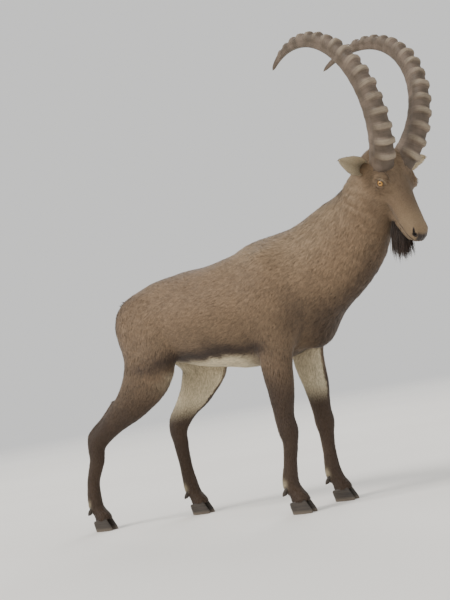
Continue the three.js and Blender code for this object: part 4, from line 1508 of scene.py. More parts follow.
@dataclass
class Coat:
    """Rules for the coat at points of the skin: its colours, its length and its place on the map."""

    points: Array
    normals: Array
    weights: dict[str, Array]

    def colours(self) -> Array:
        """The coat's colours.

        Returns:
            Rows of linear colours.
        """
        p, n, w = self.points, self.normals, self.weights
        own = HEAD.own(p)
        x, y, z = p.T
        colour = np.tile(Pelt.BODY.rgb, (len(p), 1))

        def lay(share: Array, pelt: Pelt) -> None:
            """Lays a share of another colour over the coat."""
            share = np.clip(share, 0, 1)[:, None]
            colour[:] = colour * (1 - share) + pelt.rgb * share

        uneven = waves(p, SEED + 1, 160.0, 3)
        trunk = w["trunk"] + w["neck"]
        trunk = trunk + w["foreleg"] * smoothstep(420, 560, z) + w["hindleg"] * smoothstep(430, 600, z)
        trunk = np.clip(trunk, 0, 1)
        side = z + 14 * uneven
        up = n[:, 2]

        # Flank with its dark line, and the pale belly
        lay(trunk * smoothstep(700, 590, side) * 0.8, Pelt.FLANK)
        lay(trunk * hill(side, 560, 26) * smoothstep(-300, -200, x) * smoothstep(330, 240, x), Pelt.DARK)
        belly = smoothstep(548, 520, side) * smoothstep(-0.15, -0.6, up)
        lay(trunk * belly * smoothstep(-330, -260, x) * smoothstep(250, 150, x), Pelt.PALE)

        # Nape, stripe along the back, and throat
        nape = w["neck"] * smoothstep(-0.2, 0.7, up)
        nape = nape + w["trunk"] * hill(x, 280, 130) * smoothstep(0.5, 0.9, up)
        lay(nape * (0.55 + 0.25 * uneven), Pelt.NAPE)
        stripe = hill(y, 0, 19) * smoothstep(0.5, 0.8, up) * smoothstep(-350, -300, x)
        lay(trunk * stripe * (0.85 - 0.4 * smoothstep(120, 330, x)), Pelt.DORSAL)
        throat = (w["neck"] + w["trunk"]) * smoothstep(0.25, 0.85, n[:, 0] - 0.4 * up)
        lay(throat * smoothstep(900, 700, z) * 0.75, Pelt.DARK)

        # Legs: dark, paler within, behind and over the hooves
        for legs in (w["foreleg"], w["hindleg"]):
            low = legs * smoothstep(600, 360, z + 20 * uneven)
            lay(low * 0.9, Pelt.DARK)
            inner = np.sign(y) * n[:, 1] < -0.35
            lay(legs * smoothstep(330, 420, z) * smoothstep(640, 560, z) * inner * 0.8, Pelt.PALE)
            behind = smoothstep(-0.35, -0.8, n[:, 0]) * smoothstep(90, 130, z) * smoothstep(420, 300, z)
            lay(legs * behind * 0.55, Pelt.BODY)
            lay(legs * hill(z, 104, 12) * smoothstep(0.2, -0.5, n[:, 0]) * 0.6, Pelt.PALE)

        # Pale patch under the tail
        patch = smoothstep(-270, -320, x) * smoothstep(70, 30, np.abs(y)) * smoothstep(560, 620, z)
        lay(w["trunk"] * patch * smoothstep(790, 760, z), Pelt.PALE)

        # Head: paler muzzle, dark under the jaw and on the bridge of the nose
        head = w["head"] * (x > 600)
        lay(head * 0.85, Pelt.FACE)
        lay(head * smoothstep(70, 140, own[:, 0]) * 0.7, Pelt.MUZZLE)
        lay(head * smoothstep(-20, -60, own[:, 2]) * smoothstep(110, 70, own[:, 0]) * 0.45, Pelt.DARK)
        lay(head * hill(own[:, 0], 40, 60) * smoothstep(0.6, 0.95, n @ HEAD.axes[2]) * 0.4, Pelt.DORSAL)
        return np.clip(colour * (1 + 0.08 * uneven[:, None]), 0, 1)

    def lengths(self, bare: Array) -> Array:
        """Length of the hair.

        Args:
            bare: How bare the skin is.

        Returns:
            Millimetres.
        """
        p, n, w = self.points, self.normals, self.weights
        own = HEAD.own(p)
        z = p[:, 2]
        trunk = 27 + 8 * smoothstep(-0.3, -0.9, n[:, 2]) + 6 * hill(p[:, 1], 0, 26) * (n[:, 2] > 0.5)
        neck = 31 + 9 * smoothstep(0.2, 0.8, n[:, 2]) + 8 * smoothstep(0.3, 0.9, n[:, 0])
        crown = hill(own[:, 0], -30, 26) * smoothstep(10, 40, own[:, 2])
        face = 15 - 10.4 * smoothstep(-30, 130, own[:, 0]) + 8 * crown
        legs = 11 + 14 * smoothstep(330, 560, z) + 5 * hill(z, 96, 22) * smoothstep(0.1, -0.6, n[:, 0])
        length = w["trunk"] * trunk + w["neck"] * neck + w["head"] * face
        length = length + (w["foreleg"] + w["hindleg"]) * legs
        return length * (1 - 0.9 * np.clip(bare, 0, 1))

    def widths(self) -> Array:
        """Width of a tuft.

        Returns:
            Millimetres.
        """
        p, w = self.points, self.weights
        legs = (w["foreleg"] + w["hindleg"]) * smoothstep(560, 400, p[:, 2])
        muzzle = smoothstep(20, 120, HEAD.own(p)[:, 0])
        return 5.2 * (1 - w["head"] - legs * 0.42) + w["head"] * (3.1 - 1.8 * muzzle)

    def variety(self) -> Array:
        """How much one tuft differs in shade from the next.

        Returns:
            Shares up to 1, least on the short hair of face and feet.
        """
        p, w = self.points, self.weights
        face = w["head"] * (0.45 + 0.35 * smoothstep(-10, 110, HEAD.own(p)[:, 0]))
        legs = (w["foreleg"] + w["hindleg"]) * 0.4 * smoothstep(520, 300, p[:, 2])
        return np.clip(1 - face - legs, 0.15, 1)

    @staticmethod
    def regions(p: Array, w: dict[str, Array]) -> Array:
        """The region that each point belongs to.

        Args:
            p: Rows of stance points.
            w: Weights of the body's parts.

        Returns:
            The regions' numbers.
        """
        x, z = p[:, 0], p[:, 2]
        own = HEAD.own(p)
        on_head = (own[:, 2] > -81 - 0.04 * (own[:, 0] + 30)) & (x > 600)
        rules = (
            (x > -48, Region.BARREL),
            (x > 170, Region.CHEST),
            ((x - 345) * 0.9 + (z - 700) * 0.44 > 0, Region.NECK),
            (on_head, Region.HEAD),
            ((z < 505) & (x > 120), Region.FORELEGS),
            ((z < 540) & (x < -60) & (w["hindleg"] > 0.5), Region.HINDLEGS),
        )
        region = np.full(len(p), Region.RUMP.value)
        for holds, kind in rules:
            region[holds] = kind.value
        return region

    def unwrap(self, obj: Object) -> None:
        """Lays the skin out on its map: one tile for each part, round its bones and along them.

        Args:
            obj: The skin.
        """
        p, w = self.points, self.weights
        names = list(w)
        part = np.argmax([w[name] for name in names], axis=0)
        legs = np.isin(part, [names.index("foreleg"), names.index("hindleg")])
        tile = np.where(legs, part * 2 + (p[:, 1] > 0), part)
        tiles = {value: number for number, value in enumerate(np.unique(tile))}
        turn, along = np.zeros(len(p)), np.zeros(len(p))
        for value in tiles:
            rows = tile == value
            x, y, z = p[rows].T
            if legs[rows][0]:
                turn[rows] = np.arctan2(y - np.sign(y) * 108, x - self._leg_middle(p[rows]))
                along[rows] = z / 800
            elif names[part[rows][0]] == "head":
                x, y, z = HEAD.own(p)[rows].T
                turn[rows] = np.arctan2(y, z + 22)
                along[rows] = (x + 160) / 360
            elif names[part[rows][0]] == "neck":
                turn[rows] = np.arctan2(y + 0.1 * (x - 400), z - 750 - 0.55 * (x - 450))
                along[rows] = (x * 0.8 + z * 0.5 - 400) / 900
            else:
                turn[rows] = np.arctan2(y, z - 690)
                along[rows] = (x + 460) / 1000
        corners = corner_points(obj)
        totals = counts(obj.data.polygons, "loop_total")
        starts = np.concatenate([[0], np.cumsum(totals)[:-1]])

        # A face that crosses the seam is laid beyond the tile's right edge
        u = turn[corners] / (2 * math.pi) + 0.5
        high = np.repeat(np.maximum.reduceat(u, starts), totals)
        low = np.repeat(np.minimum.reduceat(u, starts), totals)
        u = np.where((high - low > 0.5) & (u < 0.5), u + 1, u)
        first = np.repeat(tile[corners[starts]], totals)
        number = np.array([tiles[value] for value in first])
        side = math.ceil(math.sqrt(len(tiles)))
        across = (number % side + 0.04 + 0.88 * u) / side
        upward = (number // side + 0.04 + 0.92 * along[corners]) / side
        lay_map(obj, np.clip(np.stack([across, upward], 1), 0, 1))

    @staticmethod
    def _leg_middle(q: Array) -> Array:
        """The x of a leg's bones at the height of points.

        Args:
            q: Rows of points of one leg.

        Returns:
            An x for each point.
        """
        legs = FORE_LEGS if q[:, 0].mean() > 0 else HIND_LEGS
        leg = legs[side_name(q[0, 1])]
        if isinstance(leg, ForeLeg):
            heights = [0, 98, 268, 520, 690]
            spots = [leg.hoof, leg.hoof - 30, leg.knee, leg.elbow, leg.shoulder]
        else:
            heights = [0, 99, leg.hock_up, leg.stifle_up, 690]
            spots = [leg.hoof, leg.hoof - 32, leg.hock, leg.stifle, leg.hip]
        return np.interp(q[:, 2], heights, spots)


# Tufts


class Tuft:
    """A tuft of hair: a few tapered blades that fan out and bend towards the skin, one unit long."""

    BLADES = 3

    # Places along a blade, and half its width there
    TAPER = ((0.0, 0.5), (0.5, 0.42), (1.0, 0.0))

    def __init__(self, variant: int) -> None:
        """Draws the blades.

        Args:
            variant: The tuft's number, which sets its draw.
        """
        rng = np.random.default_rng(SEED + variant)
        points, faces, leaf = [], [], []
        for blade in range(self.BLADES):
            first = len(points)
            turn = (blade - (self.BLADES - 1) / 2) * 0.2 + rng.uniform(-0.08, 0.08)
            rise = rng.uniform(0.14, 0.3)
            long = rng.uniform(0.78, 1.0)
            root = rng.uniform(-0.35, 0.35)
            for share, half in self.TAPER:
                x = long * share * math.cos(turn)
                lean = long * share * math.sin(turn) * 2.2 + root
                z = rise * (share - 0.55 * share * share) - 0.05
                for s in (-1, 1) if half else (0,):
                    points.append((x, lean + s * half, z + 0.02 * abs(s)))
                    leaf.append((share, 0.5 + 0.5 * s * half, 0.0))
            faces += [(first, first + 1, first + 3, first + 2), (first + 2, first + 3, first + 4)]
        mesh = bpy.data.meshes.new(f"tuft_{variant}")
        mesh.from_pydata(points, [], faces)
        mesh.shade_smooth()
        self.obj = bpy.data.objects.new(f"tuft_{variant}", mesh)
        store(self.obj, leaf=leaf)


class TuftGrower:
    """Grows tufts on a skin by Geometry Nodes, and turns them into plain meshes."""

    VARIANTS = 5

    # Length of a tuft in metres for each millimetre of fur, from and to, and half its width
    LONG = (0.00075, 0.00115)
    WIDE = 0.0005

    # How close to its region's number a face's number has to be
    SAME = 0.3

    # Attributes of the skin that a finished coat doesn't need
    SPARE = ("root_uv", "lie", "lift", "fur", "broad", "region", "bare")

    def __init__(self, finish: Finish) -> None:
        """Makes the variants and the node group.

        Args:
            finish: The tufts' material.
        """
        self.finish = finish
        self.variants = bpy.data.collections.new("tuft_variants")
        for number in range(self.VARIANTS):
            self.variants.objects.link(Tuft(number).obj)
        self.group = self._group()

    def _group(self) -> bpy.types.NodeTree:
        """Makes the node group: points on the faces of a region, and a tuft on each that lies with the coat.

        Returns:
            The group.
        """
        tree = bpy.data.node_groups.new("grow_tufts", "GeometryNodeTree")

        def node(kind: str, inputs: Optional[dict] = None, **settings: Any) -> Node:
            """Adds a node to the group."""
            return add_node(tree, kind, inputs, **settings)

        def named(name: str, kind: str = "FLOAT") -> Socket:
            """Reads an attribute."""
            return node("GeometryNodeInputNamedAttribute", {"Name": name}, data_type=kind).outputs[0]

        def vector(operation: str, inputs: dict) -> Socket:
            """Works out a vector."""
            return node("ShaderNodeVectorMath", inputs, operation=operation).outputs[0]

        def drawn(kind: str, output: int, inputs: dict) -> Socket:
            """Draws a value for each point."""
            return node("FunctionNodeRandomValue", inputs, data_type=kind).outputs[output]

        def kept(geometry: Any, name: str, value: Any, kind: str, domain: str = "POINT") -> Socket:
            """Stores a value as an attribute of the geometry."""
            inputs = {"Geometry": geometry, "Name": name, "Value": value}
            return node("GeometryNodeStoreNamedAttribute", inputs, data_type=kind, domain=domain).outputs[0]

        sockets = (
            ("Geometry", "NodeSocketGeometry"),
            ("Density", "NodeSocketFloat"),
            ("Region", "NodeSocketFloat"),
            ("Seed", "NodeSocketInt"),
            ("Disorder", "NodeSocketFloat"),
        )
        for name, kind in sockets:
            tree.interface.new_socket(name, in_out="INPUT", socket_type=kind)
        tree.interface.new_socket("Geometry", in_out="OUTPUT", socket_type="NodeSocketGeometry")
        given = tree.nodes.new("NodeGroupInput").outputs

        # Points on the faces where the coat is long enough
        region = {0: named("region"), 1: given["Region"], 12: self.SAME}
        here = node("FunctionNodeCompare", region, operation="EQUAL").outputs[0]
        long = {0: named("fur"), 1: SHORTEST}
        grows = node("FunctionNodeCompare", long, operation="GREATER_THAN").outputs[0]
        spread = node(
            "GeometryNodeDistributePointsOnFaces",
            {
                "Mesh": given["Geometry"],
                "Selection": node("FunctionNodeBooleanMath", {0: here, 1: grows}, operation="AND").outputs[0],
                "Density": given["Density"],
                "Seed": given["Seed"],
            },
            distribute_method="RANDOM",
        )
        points = kept(spread.outputs["Points"], "root_uv", named(BAKE_MAP, "FLOAT_VECTOR"), "FLOAT_VECTOR")
        points = kept(points, "shade", drawn("FLOAT", 1, {"Seed": given["Seed"]}), "FLOAT")

        # How each tuft is turned: along the lie of the coat, a little astray, and lifted in hollows
        jitter = drawn("FLOAT_VECTOR", 0, {0: (-1.0,) * 3, 1: (1.0,) * 3, "Seed": 5})
        astray = vector("SCALE", {0: jitter, "Scale": given["Disorder"]})
        way = vector("ADD", {0: named("lie", "FLOAT_VECTOR"), 1: astray})
        raised = vector("SCALE", {0: named("lie", "FLOAT_VECTOR"), "Scale": named("lift")})
        upright = vector("SUBTRACT", {0: spread.outputs["Normal"], 1: raised})
        turned = node(
            "FunctionNodeAxesToRotation",
            {"Primary Axis": upright, "Secondary Axis": way},
            primary_axis="Z",
            secondary_axis="X",
        )

        # How large it is
        longer = drawn("FLOAT", 1, {2: self.LONG[0], 3: self.LONG[1], "Seed": 9})
        length = node("ShaderNodeMath", {0: named("fur"), 1: longer}, operation="MULTIPLY").outputs[0]
        width = node("ShaderNodeMath", {0: named("broad"), 1: self.WIDE}, operation="MULTIPLY").outputs[0]
        size = node("ShaderNodeCombineXYZ", {0: length, 1: width, 2: length}).outputs[0]

        # The tufts themselves, each on a small patch of the map at its root
        variants = {"Collection": self.variants, "Separate Children": True, "Reset Children": True}
        grown = node(
            "GeometryNodeInstanceOnPoints",
            {
                "Points": points,
                "Instance": node("GeometryNodeCollectionInfo", variants).outputs[0],
                "Pick Instance": True,
                "Instance Index": drawn("INT", 2, {4: 0, 5: self.VARIANTS - 1, "Seed": 3}),
                "Rotation": turned.outputs[0],
                "Scale": size,
            },
        )
        real = node("GeometryNodeRealizeInstances", {"Geometry": grown.outputs[0]}).outputs[0]
        leaf = vector("MULTIPLY", {0: named("leaf", "FLOAT_VECTOR"), 1: (PATCH,) * 3})
        patch = vector("ADD", {0: named("root_uv", "FLOAT_VECTOR"), 1: leaf})
        mapped = kept(real, BAKE_MAP, patch, "FLOAT2", "CORNER")
        dressed = node("GeometryNodeSetMaterial", {"Geometry": mapped, "Material": self.finish.material})
        node("NodeGroupOutput", {0: dressed.outputs[0]})
        return tree

    def grow(self, skin: Object, name: str, **inputs: Any) -> Object:
        """Grows one stretch of the coat.

        Args:
            skin: The skin with its attributes.
            name: Name of the piece.
            **inputs: Values by the names of the group's inputs.

        Returns:
            The coat as a plain mesh.
        """
        modifier = skin.modifiers.new(name, "NODES")
        modifier.node_group = self.group
        for item in self.group.interface.items_tree:
            if item.in_out == "INPUT" and item.name in inputs:
                modifier[item.identifier] = inputs[item.name]
        skin.update_tag()
        graph = bpy.context.evaluated_depsgraph_get()
        mesh = bpy.data.meshes.new_from_object(skin.evaluated_get(graph), depsgraph=graph)
        skin.modifiers.remove(modifier)
        for spare in self.SPARE:
            if spare in mesh.attributes:
                mesh.attributes.remove(mesh.attributes[spare])
        mesh.name = name
        return placed(name, mesh)


@dataclass(frozen=True)
class Growth:
    """How a region is grown: tufts to a square metre, and how far they stray from the lie of the coat."""

    region: Region
    density: float
    disorder: float = 0.28


GROWTHS = (
    Growth(Region.HEAD, 170_000, 0.2),
    Growth(Region.NECK, 62_000, 0.34),
    Growth(Region.CHEST, 72_000),
    Growth(Region.BARREL, 72_000),
    Growth(Region.RUMP, 70_000),
    Growth(Region.FORELEGS, 90_000, 0.2),
    Growth(Region.HINDLEGS, 72_000, 0.2),
)


# Horns, eyes, ears, hooves and long hair


@dataclass
class Horn:
    """One horn: a long curved cone of horn with knots across its front.

    Attributes:
        root: Its root in the head's own millimetres.
        base_deep: Half its depth at the root, from front to back.
        base_wide: Half its width at the root.
        rise: Its angle at the root against the back of the head, in degrees.
        turn: How far it curls back on its way, in degrees.
        turn_power: How evenly it curls.
        spread: Its outward lean at the root, in degrees.
        spread_turn: How far it comes in again on its way, in degrees.
    """

    MAP = "Horn"

    side: int
    length: float = 785.0
    knots: int = 17
    root: tuple = (-50.0, 36.0, 34.0)
    base_deep: float = 42.0
    base_wide: float = 31.0
    rise: float = 72.0
    turn: float = 164.0
    turn_power: float = 0.9
    spread: float = 21.0
    spread_turn: float = 32.0
    sunk: float = 14.0
    steps: int = 304
    sides: int = 36

    def build(self) -> Object:
        """Makes the horn's mesh, with what its material reads from it.

        Returns:
            The horn.
        """
        rng = np.random.default_rng(SEED + self.side)
        along, left, out = HEAD.axes
        at = HEAD.point(self.root[0], self.side * self.root[1], self.root[2])
        rough = 1 + 0.16 * rng.uniform(-1, 1, self.knots + 3)
        periods = self.knots + 2
        angle = 2 * math.pi * (np.arange(self.sides) + 0.5) / self.sides
        face = np.clip(np.cos(angle) + 0.25, 0, 1)
        slant = 0.1 * np.sin(angle + 0.6 * self.side)
        c, n = np.cos(angle), np.sin(angle)
        square = 1 / (np.abs(c) ** 3 + np.abs(n) ** 3) ** (1 / 3)
        rings, worn = [], []
        for i in (-1, *range(self.steps + 1)):
            s = max(i, 0) / self.steps
            rise = math.radians(self.rise - self.turn * s**self.turn_power)
            lean = math.radians(self.spread - self.spread_turn * s)
            back = -along * math.cos(rise) + out * math.sin(rise)
            run = back * math.cos(lean) + left * self.side * math.sin(lean)
            front = unit(np.cross(left, run))
            across = np.cross(run, front)

            # Knots, which fade out at the root and the tip
            phase = s * periods + slant
            number = np.clip(np.round(phase), 0, periods).astype(int)
            crest = smoothstep(0.3, 0.92, 0.5 + 0.5 * np.cos(2 * math.pi * phase)) * rough[number]
            uneven = 0.07 * np.sin(3 * angle + 2.1 * number)
            crest = crest * (1 + uneven + 0.05 * np.sin(7 * angle + 5.3 * number))
            crest = crest * smoothstep(0.4, 0.8, phase) * smoothstep(periods - 1.4, periods - 2.4, phase)
            crest = crest * (i >= 0)

            # Section, which narrows to a blunt tip
            size = 0.1 + 0.9 * (1 - s) ** 0.72 if s < 1 else 0.02
            size = size * (1 - 0.9 * max(0.0, (s - 0.975) / 0.025) ** 2)
            lift = crest * np.clip(c + 0.2, 0, None) * 9.6 * size**0.6
            groove = 1.6 * (1 - crest) * np.clip(c, 0, 1) * size
            deep = self.base_deep * size * square * c + lift - groove
            wide = self.base_wide * size * square * n * np.where(c < 0, 0.86, 1.0) * (1 + 0.06 * crest)
            middle = at if i >= 0 else at - run * self.sunk
            rings.append(middle + deep[:, None] * front + wide[:, None] * across)
            worn.append(face * (1.25 * crest - 0.3) * (1 - 0.5 * s) * (i >= 0))
            if i >= 0:
                at = at + run * self.length / self.steps
        faces = capped_faces(len(rings), self.sides)
        obj = mesh_object(f"knotted_horn_{side_name(self.side)}", np.concatenate(rings), faces)
        store(obj, knot=np.concatenate(worn))
        self._map(obj, len(rings))
        return obj

    def _map(self, obj: Object, rows: int) -> None:
        """Maps the quads of the rows, which come first in the mesh: across over u, and along over v.

        Args:
            obj: The horn.
            rows: How many rows it has.
        """
        r, c = np.divmod(np.arange((rows - 1) * self.sides), self.sides)
        uv = np.zeros((len(obj.data.loops), 2))
        uv[: len(r) * 4, 0] = (np.stack([c, c + 1, c + 1, c], axis=1) / self.sides).ravel()
        uv[: len(r) * 4, 1] = (np.stack([r, r, r + 1, r + 1], axis=1) / (rows - 1)).ravel()
        lay_map(obj, uv, self.MAP)


@dataclass
class Eyeball:
    """The eyeball, with its cornea a little proud, and how far from its centre the gaze comes to 1."""

    eye: Eye
    sides: int = 40
    rows: int = 30
    gaze: float = 13.0

    def build(self) -> Object:
        """Makes the eyeball's mesh, with the gaze that its material reads.

        Returns:
            The eyeball.
        """
        eye = self.eye
        level = unit(np.cross((0.0, 0.0, 1.0), eye.outward))
        upward = np.cross(eye.outward, level)
        polar = np.linspace(0.02, math.pi - 0.02, self.rows)
        turn = 2 * math.pi * np.arange(self.sides) / self.sides
        p, t = (grid.ravel() for grid in np.meshgrid(polar, turn, indexing="ij"))
        away = np.cos(t)[:, None] * level + np.sin(t)[:, None] * upward
        radius = eye.radius + 0.9 * np.exp(-((p / 0.62) ** 4))
        points = eye.centre + radius[:, None] * (np.cos(p)[:, None] * eye.outward + np.sin(p)[:, None] * away)
        obj = mesh_object(f"eyeball_{side_name(eye.side)}", points, capped_faces(self.rows, self.sides))
        q = points - eye.centre
        store(obj, gaze=np.stack([q @ level, q @ upward, q @ eye.outward], axis=1) / self.gaze)
        return obj


@dataclass
class Lids:
    """The two lids round an eye, in rows of distance from the opening, height and bareness."""

    eye: Eye
    sides: int = 72
    rows: tuple = (
        (-0.8, -1.2, 1.0), (0.0, 0.3, 1.0), (0.5, 1.5, 1.0), (1.5, 2.5, 0.75), (3.0, 2.9, 0.35),
        (4.6, 2.2, 0.0), (6.2, 2.6, 0.0), (9.0, 0.2, 0.0),
    )

    def build(self) -> Object:
        """Makes the lids' mesh.

        Returns:
            The lids.
        """
        eye = self.eye
        angle = 2 * math.pi * np.arange(self.sides) / self.sides
        rim = eye.rim(angle)
        size = np.linalg.norm(rim, axis=1, keepdims=True)
        rings = []
        for row, (far, lift, _) in enumerate(self.rows):
            hood = 0.9 * np.clip(np.sin(angle), 0, 1) * (2 < row < 7)
            rings.append(eye.at(rim * (size + far / eye.radius) / size, eye.radius + lift + hood))
        points = np.concatenate(rings)
        faces = grid_faces(len(rings), self.sides, closed=True)
        obj = mesh_object(f"lids_{side_name(eye.side)}", points, faces)
        pelt = Pelt.FACE.rgb * 0.75 + Pelt.PALE.rgb * 0.25
        store(
            obj,
            bare=np.repeat([bare for _, _, bare in self.rows], self.sides),
            lie=np.tile(-HEAD.axes[0], (len(points), 1)),
            pelt=np.tile(pelt, (len(points), 1)),
        )
        return obj

    def lashes(self, strands: "Strands") -> None:
        """Adds the upper lid's short dark lashes.

        Args:
            strands: What they are added to.
        """
        eye = self.eye
        rng = np.random.default_rng(SEED + 40)
        for angle in np.radians(np.linspace(18, 158, 34)):
            bent = eye.rim(np.array([angle]))
            root = eye.at(bent * 1.03, np.array([eye.radius + 1.4]))[0]
            way = unit(eye.outward * 0.9 + eye.short * 0.55 + eye.long * (0.5 * math.cos(angle)))
            path = [root + way * 9 * t - np.array([0, 0, 3.2]) * t * t for t in (0, 0.5, 1)]
            strands.add(np.array(path), 0.35, eye.short, rng.uniform(), (0.9, 0.9))


@dataclass
class Ear:
    """One ear: a rolled leaf, in rows of place along it, share of its width and half its roll in degrees."""

    # Where the ear's sunk root ends, and the region's number there, on which nothing grows
    ROOT = -0.04
    BARREN = 9.0

    side: int
    length: float = 134.0
    width: float = 60.0
    thickness: float = 3.2
    rows: tuple = (
        (-0.16, 0.3, 150), (0.0, 0.4, 140), (0.14, 0.6, 118), (0.3, 0.86, 88), (0.48, 1.0, 66),
        (0.66, 0.88, 54), (0.84, 0.55, 46), (0.95, 0.26, 42), (1.0, 0.05, 40),
    )
    along: int = 34
    across: int = 25

    def build(self) -> Object:
        """Makes the ear's mesh, with all that coat and material read from it.

        Returns:
            The ear.
        """
        root = HEAD.point(-86, self.side * 48, -24)
        run = HEAD.direction(0.12, self.side, 0.42)
        facing = HEAD.direction(0.8, self.side * 0.15, 0.6)
        opening = unit(facing - (facing @ run) * run)
        across = np.cross(run, opening)
        table = np.array(self.rows)
        shares = np.linspace(table[0, 0], table[-1, 0], self.along)
        t = np.linspace(-1, 1, self.across)
        sheets = []
        for away in (self.thickness / 2, -self.thickness / 2):
            for s in shares:
                width, roll = (np.interp(s, table[:, 0], table[:, k]) for k in (1, 2))
                roll = math.radians(roll)
                radius = self.width / 2 * width / math.sin(min(roll, math.pi / 2))
                spine = root + run * s * self.length - opening * 12 * s * s
                ripple = 0.9 * np.sin(t * 9 + 2) * (1 - t * t) * (away < 0) * smoothstep(0.1, 0.5, s)
                out = radius + away * (1 - 0.75 * t * t) * (1 - 0.5 * max(s, 0)) + ripple
                deep = (radius - out * np.cos(t * roll))[:, None] * opening
                sheets.append(spine + (out * np.sin(t * roll))[:, None] * across + deep)
        obj = mesh_object(f"ear_leaf_{side_name(self.side)}", np.concatenate(sheets), self._faces())
        inner = np.repeat([0.0, 1.0], self.along * self.across)
        s = np.tile(np.repeat(shares, self.across), 2)
        aside = np.tile(t, 2 * self.along)
        edge = np.abs(aside)
        fringe = 7.0 * smoothstep(0.35, 0.75, edge) * smoothstep(1.02, 0.93, edge)
        fringe = fringe - 2.5 * smoothstep(0.5, 0.9, s)
        i, e = inner[:, None], edge[:, None]
        rim = hill(e, 1, 0.06) * (1 - i) * 0.3
        pelt = Pelt.FACE.rgb * 0.9 * (1 - i) + Pelt.EAR_INSIDE.rgb * (0.62 + 0.38 * e) * i
        store(
            obj,
            lie=run + 0.25 * across * aside[:, None],
            pelt=pelt * (1 - rim) + Pelt.DARK.rgb * rim,
            bare=0.3 * inner * (1 - edge) * smoothstep(0.5, 0.1, s),
            fur=6.0 - 3.4 * hill(edge, 1, 0.12) + inner * fringe,
            lift=0.0,
            broad=1.7 + 0.4 * inner,
            vary=0.6,
            region=np.where(s < self.ROOT, self.BARREN, 0.0),
        )
        self._map(obj)
        return obj

    def _faces(self) -> list[tuple]:
        """Faces of the leaf.

        Returns:
            The quads of both sheets, then those that join them at the sides and the tip.
        """
        rows, columns = self.along, self.across
        sheet = grid_faces(rows, columns)
        first = rows * columns
        faces = [tuple(reversed(f)) for f in sheet] + moved_faces(sheet, first)
        for r in range(rows - 1):
            for c, turned in ((0, False), (columns - 1, True)):
                a, b = r * columns + c, (r + 1) * columns + c
                quad = (a, b, b + first, a + first)
                faces.append(tuple(reversed(quad)) if turned else quad)
        top = (rows - 1) * columns
        for c in range(columns - 1):
            faces.append((top + c, top + c + 1, top + c + 1 + first, top + c + first))
        return faces

    def _map(self, obj: Object) -> None:
        """Maps the outside of the leaf to the left and its inside to the right.

        Args:
            obj: The ear.
        """
        sheet, rest = np.divmod(corner_points(obj), self.along * self.across)
        r, c = np.divmod(rest, self.across)
        u = 0.02 + 0.46 * c / (self.across - 1) + 0.5 * sheet
        lay_map(obj, np.stack([u, 0.02 + 0.95 * r / (self.along - 1)], axis=1))


@dataclass
class Claw:
    """One claw of a cloven hoof, with levels of height, size against the sole and shift forward."""

    hoof: float
    y: float
    outward: int
    length: float = 72.0
    width: float = 29.0
    levels: tuple = ((0, 0.93, 5), (2, 1, 5), (16, 0.96, 2), (34, 0.88, -4), (52, 0.8, -9), (60, 0.7, -10))
    heights: tuple = (0, 0, 0.5, 1.3, 2.6, 6, 10, 14, 18, 22, 27, 32, 37, 42, 47, 52, 57, 60)
    top: float = 60
    sides: int = 36

    @staticmethod
    def coronet(x: Array) -> Array:
        """Height of the hoof's upper edge at a place from the hoof's middle."""
        return 43.0 + 0.2 * x

    def rings(self) -> list[Array]:
        """Rows of points from the middle of the sole over its edge to the coronet.

        Returns:
            An array of stance points for each row.
        """
        angle = 2 * math.pi * np.arange(self.sides) / self.sides
        c, n = np.cos(angle), np.sin(angle)
        across = np.where(n * self.outward > 0, 1.0, 0.78)
        table = np.array(self.levels, dtype=float)
        rings = []
        for z in self.heights:
            size, shift = (np.interp(z, table[:, 0], table[:, k]) for k in (1, 2))
            if not rings:
                size = 0.3
            wave = 1 + 0.008 * math.sin(z * 0.9)
            x = shift + self.length / 2 * size * c * wave
            y = self.width / 2 * size * (1 - 0.3 * c) * across * n * 1.05 * wave
            rings.append(np.stack([self.hoof + x, self.y + y, z / self.top * (self.coronet(x) + 1)], axis=1))
        return rings


@dataclass
class Dewclaw:
    """One of the two small claws behind a foot, in rows of height, radius and distance behind the hoof."""

    hoof: float
    y: float
    rows: tuple = (
        (0, 4.5, 52), (1.5, 7.5, 51), (6, 9.5, 49), (12, 10.8, 46), (20, 10.8, 41), (30, 8.5, 32),
        (36, 5, 26),
    )
    foot: float = 60
    sides: int = 14

    def rings(self) -> list[Array]:
        """Rows of points from its lower to its upper end.

        Returns:
            An array of stance points for each row.
        """
        angle = 2 * math.pi * np.arange(self.sides) / self.sides
        c, n = np.cos(angle), np.sin(angle)
        rings = []
        for up, radius, behind in self.rows:
            ring = np.stack([radius * c, 0.9 * radius * n, 0.25 * radius * c], axis=1)
            rings.append(ring + np.array([self.hoof - behind, self.y, self.foot + up]))
        return rings


@dataclass
class Hooves:
    """The hooves of the four feet, and the dewclaws behind them, each apart from the foot's middle."""

    apart: float = 16.0
    dew_apart: float = 17.0

    def build(self) -> list[tuple]:
        """Makes the claws and dewclaws.

        Returns:
            Each piece, with the names of the solids that it replaces.
        """
        pieces, points, faces = [], [], []
        for kind, legs in (("fore", FORE_LEGS), ("hind", HIND_LEGS)):
            for name, leg in legs.items():
                for s in (-1, 1):
                    y = leg.side * FOOT_APART
                    claw = Claw(leg.hoof, y + s * self.apart, s)
                    rings = claw.rings()
                    place = "outer" if s * leg.side > 0 else "inner"
                    node = f"claw_{kind}_{name}_{place}"
                    quads = capped_faces(len(rings), claw.sides)
                    pieces.append((mesh_object(f"hoof_{node}", np.concatenate(rings), quads), node))
                    small = Dewclaw(leg.hoof, y + s * self.dew_apart)
                    quads = capped_faces(len(small.rows), small.sides)
                    faces += moved_faces(quads, len(points) * small.sides)
                    points += small.rings()
        return [*pieces, (mesh_object("dewclaws", np.concatenate(points), faces),)]


